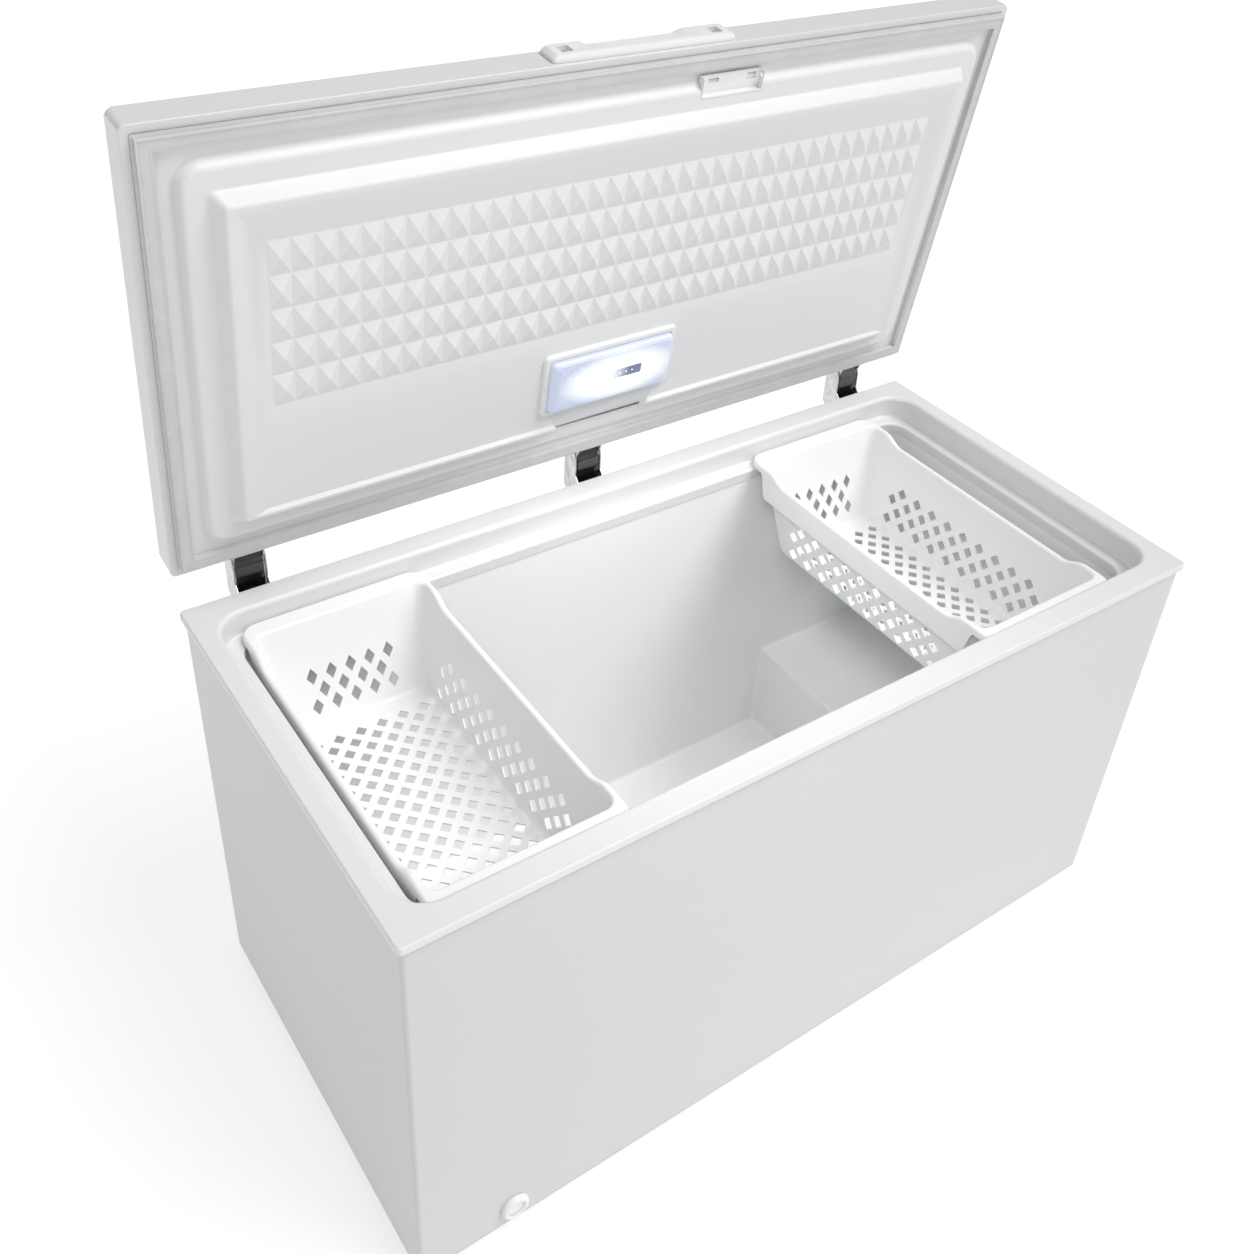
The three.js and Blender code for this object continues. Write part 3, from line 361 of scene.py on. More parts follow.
def pyramids(bm, x0, x1, y0, y1, z, across, up, height):
    # rows of low pyramids, one for each cell of a grid
    place = Matrix.Translation(((x0 + x1) / 2, (y0 + y1) / 2, z)) @ Matrix.Diagonal(((x1 - x0) / 2, (y1 - y0) / 2, 1, 1))
    before = set(bm.faces)
    bmesh.ops.create_grid(bm, x_segments=across, y_segments=up, size=1.0, matrix=place)
    cells = [f for f in bm.faces if f not in before]
    bmesh.ops.poke(bm, faces=cells, offset=height, center_mode="MEAN")


def meshOf(bm, name):
    mesh = bpy.data.meshes.new(name)
    bm.to_mesh(mesh)
    bm.free()
    return mesh


def looseObject(bm, name):
    made = bpy.data.objects.new(name, meshOf(bm, name))
    bpy.context.scene.collection.objects.link(made)
    return made


def applied(obj):
    # the object's mesh with its modifiers worked in, as a bmesh; the object is removed
    bpy.context.view_layer.update()
    shape = obj.evaluated_get(bpy.context.evaluated_depsgraph_get())
    bm = bmesh.new()
    bm.from_mesh(shape.to_mesh())
    shape.to_mesh_clear()
    bpy.data.objects.remove(obj)
    return bm


def carve(bm, cutter, wall=0.0, name="blank"):
    # takes the cutter's solids out of the shape, after giving it its wall
    blank, tool = looseObject(bm, name), looseObject(cutter, name + "_cutter")
    if wall:
        thick = blank.modifiers.new("wall", "SOLIDIFY")
        thick.thickness, thick.offset, thick.use_even_offset = wall, -1.0, True
    cut = blank.modifiers.new("cut", "BOOLEAN")
    cut.operation, cut.solver, cut.object = "DIFFERENCE", "MANIFOLD", tool
    made = applied(blank)
    bpy.data.objects.remove(tool)
    return made


def makePiece(name, bm, material, body, stands=(), place=None, edge=0.0, segments=2, wall=0.0, angle=35,
              sharp=38, facets=False):
    # edge rounds with a bevel, wall thickens inwards, facets keeps triangles flat
    if place is not None:
        bmesh.ops.transform(bm, matrix=place, verts=bm.verts)
    piece = looseObject(bm, name)
    mesh = piece.data
    mesh.materials.append(material)
    mesh.shade_smooth()
    if edge:
        rounded = piece.modifiers.new("edges", "BEVEL")
        rounded.width, rounded.segments, rounded.limit_method = edge, segments, "ANGLE"
        rounded.angle_limit, rounded.harden_normals = math.radians(angle), True
    else:
        mesh.set_sharp_from_angle(angle=math.radians(sharp))
    if facets:
        for face in mesh.polygons:
            face.use_smooth = len(face.vertices) > 3
    if wall:
        thick = piece.modifiers.new("wall", "SOLIDIFY")
        thick.thickness, thick.offset, thick.use_even_offset = wall, -1.0, True
    if not edge:
        even = piece.modifiers.new("even_shading", "WEIGHTED_NORMAL")
        even.weight, even.keep_sharp = 60, True
    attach(piece, body)
    if stands:
        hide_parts(*stands)
    return piece


def refined(node, material, edge=0.0, segments=2, sharp=38, angle=35):
    # a merged copy of a CAD node, with its flat faces whole again and its edges broken
    bm = bmesh.new()
    bm.from_mesh(nodes[node].data)
    for layer in list(bm.loops.layers.float_vector.values()):          # the CAD's own shading
        bm.loops.layers.float_vector.remove(layer)
    bmesh.ops.remove_doubles(bm, verts=bm.verts, dist=2e-6)
    bmesh.ops.dissolve_limit(bm, angle_limit=math.radians(0.6), verts=bm.verts, edges=bm.edges)
    return makePiece(node + "_shape", bm, material, nodes[node]["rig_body"], (node,),
                     edge=edge, segments=segments, sharp=sharp, angle=angle)


# the lid's own frame: x across, s from its rear edge, u from its face into the freezer

hinge = next(j for j in frame["joints"] if j["name"] == "lid_hinge")
hingeAxis = Vector(hinge["pos_m"])
shutTurn = Matrix.Rotation(math.radians(hinge["range_deg"][1]), 4, "X")
shut = Matrix.Translation(hingeAxis) @ shutTurn @ Matrix.Translation(-hingeAxis)


def shutBox(node):
    points = [shut @ v.co for v in nodes[node].data.vertices]
    return [Vector([pick(p[i] for p in points) for i in range(3)]) for pick in (min, max)]


skinLow, skinHigh = shutBox("lid_skin")
panelHigh = shutBox("lid_inner_panel")[1]
lidPlace = shut.inverted() @ Matrix.Translation((0, skinHigh.y, panelHigh.z)) @ Matrix.Rotation(math.pi, 4, "X")
lidHalf, lidDepth = skinHigh.x, skinHigh.y - skinLow.y


def lidBox(node):
    # a lid node's box in the lid's own frame
    low, high = shutBox(node)
    return Vector((low.x, skinHigh.y - high.y, panelHigh.z - high.z)), Vector((high.x, skinHigh.y - low.y, panelHigh.z - low.z))


# collar

collarStyle = dict(rimEnd=33 * mm, rimFront=42 * mm, opening=45 * mm, ledgeDrop=41 * mm, ledge=24 * mm, skirt=20 * mm,
                   lip=12 * mm, corner=7 * mm, smaller=14 * mm, outerRound=2.5 * mm, innerRound=8 * mm, ledgeRound=4 * mm,
                   wall=1.1 * mm)


def makeCollar(style):
    low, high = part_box("collar")
    top = high.z

    def ring(inX, inY, z, radius):
        return low.x + inX, high.x - inX, low.y + inY, high.y - inY, z, radius, 9

    bm = bmesh.new()
    endIn, frontIn = style["rimEnd"], style["rimFront"]
    ledgeZ = top - style["ledgeDrop"]
    small = style["opening"] - style["smaller"]
    loops = loft(bm, [
        ring(0, 0, top - style["lip"], style["corner"]), ring(0, 0, top, style["corner"]),
        ring(endIn, frontIn, top, style["opening"]), ring(endIn, frontIn, ledgeZ, style["opening"]),
        ring(endIn + style["ledge"], frontIn + style["ledge"], ledgeZ, small),
        ring(endIn + style["ledge"], frontIn + style["ledge"], ledgeZ - style["skirt"], small)])
    soften(bm, loops[2], style["innerRound"], 5)
    soften(bm, loops[3], style["ledgeRound"], 3)
    soften(bm, loops[4], style["ledgeRound"], 3)
    soften(bm, loops[1], style["outerRound"], 3)
    settle(bm, (0, 0, 1))
    makePiece("collar_frame", bm, collarPlastic, "cabinet", ("collar",), wall=style["wall"], sharp=50)


makeCollar(collarStyle)
print("collar done")


# inner liner, one pressed tub with the step over the compressor

linerStyle = dict(step=260 * mm, stepTop=243 * mm, corner=32.5 * mm, floorRound=8 * mm, stepRound=2 * mm,
                  wall=1 * mm, drain=7 * mm)


def makeLiner(style):
    low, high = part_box("inner_liner")
    wall = style["wall"]
    x0, x1, y0, y1 = low.x + wall, high.x - wall, low.y + wall, high.y - wall
    floor, top, stepX = low.z + wall, high.z, high.x - wall - style["step"]
    bm = bmesh.new()
    face = bm.faces.new([bm.verts.new((x, y0, z)) for x, z in (
        (x0, top), (x0, floor), (stepX, floor), (stepX, style["stepTop"]), (x1, style["stepTop"]), (x1, top))])
    made = bmesh.ops.extrude_face_region(bm, geom=[face])
    bmesh.ops.translate(bm, verts=[v for v in made["geom"] if isinstance(v, bmesh.types.BMVert)], vec=(0, y1 - y0, 0))
    settle(bm)
    soften(bm, [e for e in bm.edges if abs(e.verts[0].co.z - e.verts[1].co.z) > 0.3], style["corner"], 9)
    settle(bm)
    stepEdge = edgesWhere(bm, lambda p: abs(p.x - stepX) < 1e-5 and abs(p.z - style["stepTop"]) < 1e-5)
    soften(bm, stepEdge, style["stepRound"], 3)
    soften(bm, [e for e in bm.edges if e.calc_face_angle(0) > 0.8 and max(v.co.z for v in e.verts) < top - 1 * mm],
           style["floorRound"], 4)
    bmesh.ops.delete(bm, geom=[f for f in bm.faces if f.calc_center_median().z > top - 1 * mm], context="FACES_ONLY")
    bmesh.ops.recalc_face_normals(bm, faces=bm.faces)
    ground = min(bm.faces, key=lambda f: f.calc_center_median().z)
    if ground.normal.z < 0:
        bmesh.ops.reverse_faces(bm, faces=bm.faces)
    plugLow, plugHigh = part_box("drain_plug")
    bore = bmesh.new()
    bmesh.ops.create_cone(bore, cap_ends=True, segments=20, radius1=style["drain"], radius2=style["drain"], depth=0.03,
                          matrix=Matrix.Translation(((plugLow.x + plugHigh.x) / 2, (plugLow.y + plugHigh.y) / 2, floor)))
    bm = carve(bm, bore, wall, "liner")
    makePiece("liner_tub", bm, linerSheet, "cabinet", ("inner_liner",), sharp=40)


makeLiner(linerStyle)
print("liner done")


# lid skin

skinStyle = dict(flange=16 * mm, corner=8 * mm, edgeRound=1.6 * mm, topRound=4 * mm, sheet=0.8 * mm)


def makeLidSkin(style):
    low, high = lidBox("lid_skin")

    def ring(inset, u, radius):
        return low.x + inset, high.x - inset, low.y + inset, high.y - inset, u, radius, 5

    bm = bmesh.new()
    loops = loft(bm, [ring(style["flange"], high.z, 3 * mm), ring(0, high.z, style["corner"]), ring(0, low.z, style["corner"])],
                 capEnd=True)
    soften(bm, loops[2], style["topRound"], 4)
    soften(bm, loops[1], style["edgeRound"], 3)
    settle(bm, (0, 0, -1))
    makePiece("lid_shell", bm, lidPaint, "lid", ("lid_skin",), lidPlace, wall=style["sheet"], sharp=50)


makeLidSkin(skinStyle)


# lid gasket: a hollow vinyl profile, two soft lips with a fold between

gasketStyle = dict(width=19.4 * mm)


def makeGasket(style):
    low, high = lidBox("lid_gasket")
    wide, top, base = style["width"], high.z, low.z
    # distance in from the lid's edge, and height: outer fold, outer lip, flat back of the magnet, inner lip and fold
    profile = [(0, base), (0, base + 2.6 * mm), (1.4 * mm, base + 3.6 * mm), (0.2 * mm, base + 4.8 * mm),
               (0, top - 1.6 * mm), (0.9 * mm, top - 0.3 * mm), (2.0 * mm, top), (3.4 * mm, top), (4.0 * mm, top - 0.9 * mm),
               (wide - 4.2 * mm, top - 0.9 * mm), (wide - 3.6 * mm, top), (wide - 1.6 * mm, top),
               (wide - 0.3 * mm, top - 1.4 * mm), (wide - 1.5 * mm, top - 2.9 * mm), (wide, top - 4.3 * mm), (wide, base)]
    bm = bmesh.new()
    loft(bm, [(low.x + d, high.x - d, low.y + d, high.y - d, u) for d, u in profile], closed=True)
    settle(bm)
    makePiece("gasket_ring", bm, gasketVinyl, "lid", ("lid_gasket",), lidPlace, sharp=60)


makeGasket(gasketStyle)
print("lid skin and gasket done")


# lid inner panel: two steps, a plain field, and the field of pyramids

panelStyle = dict(sheet=1.8 * mm, flange=11 * mm, tuck=-6 * mm, plugOneIn=(48 * mm, 58 * mm), plugOne=16 * mm,
                  plugTwoIn=(86 * mm, 98 * mm), plugTwo=38 * mm, border=13 * mm, borderRear=6 * mm, fieldIn=129 * mm,
                  fieldRear=109 * mm, fieldFront=547 * mm, field=34 * mm, plainEnd=251 * mm,
                  rows=5, columns=36, pyramid=6.2 * mm, patternIn=147 * mm, patternStart=279 * mm, patternEnd=525 * mm,
                  pattern=30 * mm, rampStart=34 * mm, rampEnd=130 * mm, rampLow=5 * mm, rampWide=98 * mm,
                  rampNarrow=54 * mm, pocketGap=0.3 * mm, pocketFront=12 * mm, pocketFloor=4 * mm, above=60 * mm)


def makePanel(style):
    sheet, end, deep, field = style["sheet"], lidHalf, lidDepth, style["field"]
    oneFoot, oneTop = style["plugOneIn"]
    twoFoot, twoTop = style["plugTwoIn"]

    def ring(inset, u, radius, rear=None):
        return -end + inset, end - inset, inset if rear is None else rear, deep - inset, u, radius * mm, 6

    bm = bmesh.new()
    loops = loft(bm, [ring(style["flange"], style["tuck"], 3), ring(style["flange"], sheet, 3), ring(oneFoot, sheet, 35),
                      ring(oneTop, style["plugOne"], 24), ring(twoFoot, style["plugOne"], 9), ring(twoTop, style["plugTwo"], 6),
                      ring(twoTop + style["border"], style["plugTwo"], 4, twoTop + style["borderRear"])], capStart=True)
    for loop, radius in ((loops[2], 3), (loops[3], 4), (loops[4], 2), (loops[5], 3)):
        soften(bm, loop, radius * mm, 4)
    # the plain field keeps its rear part; the front part drops to the pyramids
    fieldX, patternX = end - style["fieldIn"], end - style["patternIn"]
    wide, tall = gather(bm, loops[-1], -fieldX, fieldX, style["fieldRear"], style["fieldFront"], field)
    flat = bmesh.ops.edgeloop_fill(bm, edges=wide + tall)["faces"][0]
    bmesh.ops.bisect_plane(bm, geom=[flat] + list(flat.edges) + list(flat.verts),
                           plane_co=(0, style["plainEnd"], 0), plane_no=(0, 1, 0))
    front = next(f for f in bm.faces if all(abs(v.co.z - field) < 1e-6 for v in f.verts)
                 and f.calc_center_median().y > style["plainEnd"])
    brim = [corner.vert for corner in front.loops]
    bmesh.ops.delete(bm, geom=[front], context="FACES_ONLY")
    wide, tall = gather(bm, brim, -patternX, patternX, style["patternStart"], style["patternEnd"], style["pattern"])
    bmesh.ops.subdivide_edges(bm, edges=wide, cuts=style["columns"] - 1)
    bmesh.ops.subdivide_edges(bm, edges=tall, cuts=style["rows"] - 1)
    pyramids(bm, -patternX, patternX, style["patternStart"], style["patternEnd"], style["pattern"],
             style["columns"], style["rows"], style["pyramid"])
    bmesh.ops.remove_doubles(bm, verts=bm.verts, dist=1e-5)
    bmesh.ops.recalc_face_normals(bm, faces=bm.faces)

    # channel for the lamp's air and light, and the pocket for the catch
    lampLow, lampHigh = lidBox("lamp_housing")
    middle = (lampLow.x + lampHigh.x) / 2
    cutter = bmesh.new()
    rear, front, broad, thin = style["rampStart"], style["rampEnd"], style["rampWide"], style["rampNarrow"]
    base = cutter.faces.new([cutter.verts.new(p) for p in (
        (middle - thin, rear, style["rampLow"]), (middle + thin, rear, style["rampLow"]),
        (middle + broad, front, field), (middle - broad, front, field))])
    made = bmesh.ops.extrude_face_region(cutter, geom=[base])
    for v in [v for v in made["geom"] if isinstance(v, bmesh.types.BMVert)]:
        v.co.z = style["above"]
    pocketLow, pocketHigh = lidBox("latch_pocket")
    gap = style["pocketGap"]
    cuboid(cutter, (pocketLow.x - gap, pocketLow.y - gap, style["pocketFloor"]),
           (pocketHigh.x + gap, pocketHigh.y + style["pocketFront"], style["above"]))
    bmesh.ops.recalc_face_normals(cutter, faces=cutter.faces)
    bm = carve(bm, cutter, 0, "panel")
    bmesh.ops.delete(bm, geom=[f for f in bm.faces if f.calc_center_median().z < sheet - 0.3 * mm], context="FACES")
    bmesh.ops.recalc_face_normals(bm, faces=bm.faces)
    tip = max(bm.faces, key=lambda f: f.calc_center_median().z)
    if tip.normal.z < 0:
        bmesh.ops.reverse_faces(bm, faces=bm.faces)
    makePiece("inner_panel", bm, panelPlastic, "lid", ("lid_inner_panel",), lidPlace,
              wall=sheet, sharp=35, facets=True)


makePanel(panelStyle)
print("inner panel done")


# lamp: bezel, prismatic lens, window over the three lights

lampStyle = dict(slope=1.5 * mm, brim=9 * mm, lensSide=8 * mm, lensEnd=6 * mm, lensEdge=5 * mm, prismDrop=0.8 * mm,
                 prismAcross=44, prismUp=16, prism=0.7 * mm, window=(-34 * mm, 31 * mm), windowTall=17 * mm,
                 windowUp=2 * mm, lights=3, lightPitch=11 * mm, lightShift=4.4 * mm, light=1.6 * mm)


def lensFinish(centre, reach):
    # lit from behind: brightest round the lights, cooler towards the ends
    f = Finish("lamp_lens_lit", {"IOR": 1.58, "Coat Weight": 0.6, "Coat Roughness": 0.04, "Emission Strength": 0.9})
    x, _, z = f.axes()
    across, up = (x - centre.x) / reach[0], (z - centre.z) / reach[1]
    spread = f.node("ShaderNodeMath", {"operation": "SQRT"}, {0: across * across + up * up})
    glow = 1 - f.ramp(spread, 0.25, 1.0)
    ripple = f.noise(240.0, 1.0)
    return f.set({"Base Color": f.blend(glow, (0.52, 0.56, 0.68, 1), (0.80, 0.82, 0.86, 1)),
                  "Emission Color": f.blend(glow, (0.16, 0.18, 0.24, 1), (1.0, 1.0, 1.0, 1)),
                  "Roughness": 0.1 + 0.12 * ripple, "Normal": f.bump(ripple, 0.2, 0.0002)})


def makeLamp(style):
    low, high = lidBox("lamp_housing")

    def ring(inX, inY, u, radius):
        return low.x + inX, high.x - inX, low.y + inY, high.y - inY, u, radius, 5

    bm = bmesh.new()
    brim = style["brim"]
    loops = loft(bm, [ring(0, 0, low.z, 10 * mm), ring(style["slope"], style["slope"], high.z, 9 * mm),
                      ring(brim, brim, high.z, 6 * mm), ring(brim, brim, high.z - 3.5 * mm, 6 * mm)], capStart=True, capEnd=True)
    soften(bm, loops[1], 1.6 * mm, 3)
    soften(bm, loops[2], 0.8 * mm, 2)
    settle(bm)
    makePiece("lamp_bezel", bm, trimPlastic, "lid", ("lamp_housing",), lidPlace, sharp=50)

    low, high = lidBox("lamp_lens")         # ring now follows the lens
    side, end = style["lensSide"], style["lensEnd"]
    bm = bmesh.new()
    loops = loft(bm, [ring(0, 0, low.z, 6 * mm), ring(side * 0.25, end * 0.25, high.z - 5 * mm, 6 * mm),
                      ring(side, end, high.z - 0.9 * mm, 5 * mm)])
    soften(bm, loops[1], 1.4 * mm, 3)
    inX, inY = side + style["lensEdge"], end + style["lensEdge"]
    field = (low.x + inX, high.x - inX, low.y + inY, high.y - inY, high.z - style["prismDrop"])
    wide, tall = gather(bm, loops[2], *field)
    bmesh.ops.subdivide_edges(bm, edges=wide, cuts=style["prismAcross"] - 1)
    bmesh.ops.subdivide_edges(bm, edges=tall, cuts=style["prismUp"] - 1)
    pyramids(bm, *field, style["prismAcross"], style["prismUp"], style["prism"])
    bmesh.ops.remove_doubles(bm, verts=bm.verts, dist=1e-5)
    settle(bm, (0, 0, 1))
    centre = lidPlace @ Vector(((low.x + high.x) / 2 + 10 * mm, (low.y + high.y) / 2, high.z))
    lens = lensFinish(centre, ((high.x - low.x) / 2, (high.y - low.y) / 2))
    makePiece("lens_cover", bm, lens, "lid", ("lamp_lens",), lidPlace,
              wall=1.6 * mm, sharp=35, facets=True)

    # clear window, flush with the prisms, and the three lights behind it
    f = Finish("lamp_window", {"IOR": 1.5, "Coat Weight": 1.0, "Coat Roughness": 0.02, "Emission Strength": 0.55})
    haze = f.noise(60.0, 2.0)
    a, b = style["window"]
    fade = f.ramp(f.axes()[0], a + 4 * mm, b - 24 * mm)            # lit at its left end
    glass = f.set({"Base Color": f.blend(fade, (0.80, 0.84, 0.92, 1), (0.13, 0.16, 0.26, 1)),
                   "Emission Color": f.blend(fade, (1.0, 1.0, 1.0, 1), (0.10, 0.13, 0.24, 1)),
                   "Roughness": 0.06 + 0.06 * haze})
    middle = (low.y + high.y) / 2 + style["windowUp"]
    tall = style["windowTall"] / 2
    bm = bmesh.new()
    loft(bm, [(a, b, middle - tall, middle + tall, high.z - 0.6 * mm, 2 * mm, 4),
              (a, b, middle - tall, middle + tall, high.z - 0.02 * mm, 2 * mm, 4)], capStart=True, capEnd=True)
    settle(bm)
    makePiece("lamp_window", bm, glass, "lid", place=lidPlace, edge=0.15 * mm)
    f = Finish("light_chip", {"Emission Strength": 3.0})
    spot = f.noise(500.0, 1.0)
    chip = f.set({"Base Color": f.blend(spot, (0.9, 0.95, 1, 1), (1, 1, 1, 1)), "Roughness": 0.3 + 0.1 * spot,
                  "Emission Color": f.blend(spot, (0.85, 0.92, 1, 1), (1, 1, 1, 1))})
    bm = bmesh.new()
    for i in range(style["lights"]):
        made = bmesh.ops.create_uvsphere(bm, u_segments=12, v_segments=6, radius=style["light"])
        bmesh.ops.scale(bm, verts=made["verts"], vec=(1, 1, 0.25))
        x = (a + b) / 2 + style["lightShift"] + (i - (style["lights"] - 1) / 2) * style["lightPitch"]
        bmesh.ops.translate(bm, verts=made["verts"], vec=(x, middle, high.z - 0.35 * mm))
    makePiece("lamp_lights", bm, chip, "lid", place=lidPlace)


makeLamp(lampStyle)
print("lamp done")


# handle on the lid's front edge

handleStyle = dict(corner=6 * mm, endSlope=7 * mm, sideSlope=2.5 * mm, screws=244 * mm, well=18 * mm, wellDeep=7.4 * mm,
                   wellDraft=0.8 * mm, scoop=166 * mm, scoopShift=-8 * mm, scoopDeep=7 * mm, scoopSlope=14 * mm,
                   scoopLow=0.26, scoopRise=5 * mm)


def makeHandle(style):
    low, high = lidBox("handle")
    # modelled standing: x across, y up the lid's edge, z out of it
    tall, proud = high.z - low.z, high.y - low.y
    stand = lidPlace @ Matrix.Translation((0, low.y, high.z)) @ Matrix.Rotation(math.radians(-90), 4, "X")
    bm = bmesh.new()
    loops = loft(bm, [(low.x, high.x, 0, tall, 0, style["corner"], 5), (low.x, high.x, 0, tall, proud * 0.45, style["corner"], 5),
                      (low.x + style["endSlope"], high.x - style["endSlope"], style["sideSlope"], tall - style["sideSlope"],
                       proud, style["corner"] * 0.8, 5)], capStart=True, capEnd=True)
    soften(bm, lineEdges(loops[1]) + lineEdges(loops[2]), 1.1 * mm, 3)
    settle(bm)
    cutter = bmesh.new()
    left, right = style["scoopShift"] - style["scoop"] / 2, style["scoopShift"] + style["scoop"] / 2
    slope, scoopLow = style["scoopSlope"], tall * style["scoopLow"]
    loft(cutter, [(left + slope, right - slope, scoopLow + style["scoopRise"], tall + 12 * mm,
                   proud - style["scoopDeep"], 4 * mm, 5),
                  (left, right, scoopLow, tall + 16 * mm, proud + 0.2 * mm, 5 * mm, 5),
                  (left, right, scoopLow, tall + 16 * mm, proud + 6 * mm, 5 * mm, 5)], capStart=True, capEnd=True)
    for side in (-1, 1):
        x, well = side * style["screws"] / 2, style["well"] / 2
        deep = well - style["wellDraft"]
        loft(cutter, [(x - deep, x + deep, tall / 2 - deep, tall / 2 + deep, proud - style["wellDeep"], 1.5 * mm, 3),
                      (x - well, x + well, tall / 2 - well, tall / 2 + well, proud + 3 * mm, 2 * mm, 3)],
             capStart=True, capEnd=True)
    bmesh.ops.recalc_face_normals(cutter, faces=cutter.faces)
    bm = carve(bm, cutter, 0, "handle")
    makePiece("grip_handle", bm, trimPlastic, "lid", ("handle",), stand, edge=0.5 * mm, angle=40)


makeHandle(handleStyle)
print("handle done")


# hinge caps, glossy black, one over each spring

capStyle = dict(lean=6 * mm, rearDrop=9 * mm, rearIn=9 * mm, faceDrop=21 * mm, rearRise=11.7 * mm, round=2.4 * mm,
                wall=1.4 * mm, ring=4.2 * mm, ringUp=0.27)


def makeHingeCap(side, style):
    low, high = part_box("hinge_cover_" + side)
    bm = bmesh.new()
    prism(bm, [(low.y, low.z), (low.y, high.z - style["faceDrop"]), (low.y + style["lean"], high.z),
               (high.y - style["rearIn"], high.z), (high.y, high.z - style["rearDrop"]),
               (high.y, low.z + style["rearRise"]), (high.y - style["rearIn"], low.z)], low.x, high.x)
    settle(bm)
    soften(bm, edgesWhere(bm, lambda p: p.z > low.z + 1e-5), style["round"], 4)
    bmesh.ops.delete(bm, geom=[f for f in bm.faces if f.normal.z < -0.9], context="FACES")
    settle(bm, (0, 0, 1))
    makePiece("hinge_cap_" + side, bm, hingeBlack, "cabinet", ("hinge_cover_" + side,),
              wall=style["wall"], sharp=40)
    # moulded ring low on the face, with a recessed middle
    bm = bmesh.new()
    base = bmesh.ops.create_circle(bm, cap_ends=True, segments=24, radius=style["ring"])["verts"]
    line = [corner.vert for corner in base[0].link_faces[0].loops]
    for radius, out in ((0.94, 0.9), (0.66, 0.9), (0.6, 0.3)):          # share of the radius, millimetres proud
        line = grow(bm, line, [(*(v.co.xy.normalized() * style["ring"] * radius), out * mm) for v in line])
    bm.faces.new(line)
    settle(bm)
    face = Matrix.Translation(((low.x + high.x) / 2, low.y + 0.05 * mm, low.z + style["ringUp"] * (high.z - low.z)))
    makePiece("hinge_ring_" + side, bm, hingeBlack, "cabinet",
              place=face @ Matrix.Rotation(math.radians(90), 4, "X"), sharp=50)


for side in ("left", "centre", "right"):
    makeHingeCap(side, capStyle)
    refined("hinge_bracket_" + side, zinc, 0.35 * mm)
    refined("hinge_pin_" + side, zinc, 0.3 * mm)
    refined("hinge_spring_" + side, zinc, sharp=60)
    refined("hinge_leaf_" + side, zinc, 0.35 * mm)
print("hinges done")


# hanging baskets

basketStyle = dict(wall=2.4 * mm, taperSide=22 * mm, taperEnd=50 * mm, corner=20 * mm, floorRound=9 * mm, bandOut=5.5 * mm,
                   rimEnd=26 * mm, band=57 * mm, rimDrop=9.9 * mm, rimRound=2.6 * mm, under=0.9 * mm,   # air below the shut lid
                   dip=14.6 * mm, dipDepth=60 * mm, dipFlat=196 * mm, dipEnd=238 * mm, bandEnd=(242 * mm, 258 * mm),
                   endPitch=30.5 * mm, endRow=24 * mm, endRows=3, endStart=0.20, sidePitch=39 * mm, sideRow=20 * mm,
                   sideRows=4, sideStart=0.125, floorPitch=34.5 * mm, floorRow=18 * mm, floorRows=21, hole=0.57)


def diamond(bm, wide, tall, deep, place):
    # four-sided cutter standing along its own z
    made = bmesh.ops.create_cone(bm, cap_ends=True, segments=4, radius1=1.0, radius2=1.0, depth=deep)
    bmesh.ops.transform(bm, matrix=place @ Matrix.Diagonal((wide / 2, tall / 2, 1, 1)), verts=made["verts"])


def smooth(t):
    t = min(max(t, 0.0), 1.0)
    return t * t * (3 - 2 * t)


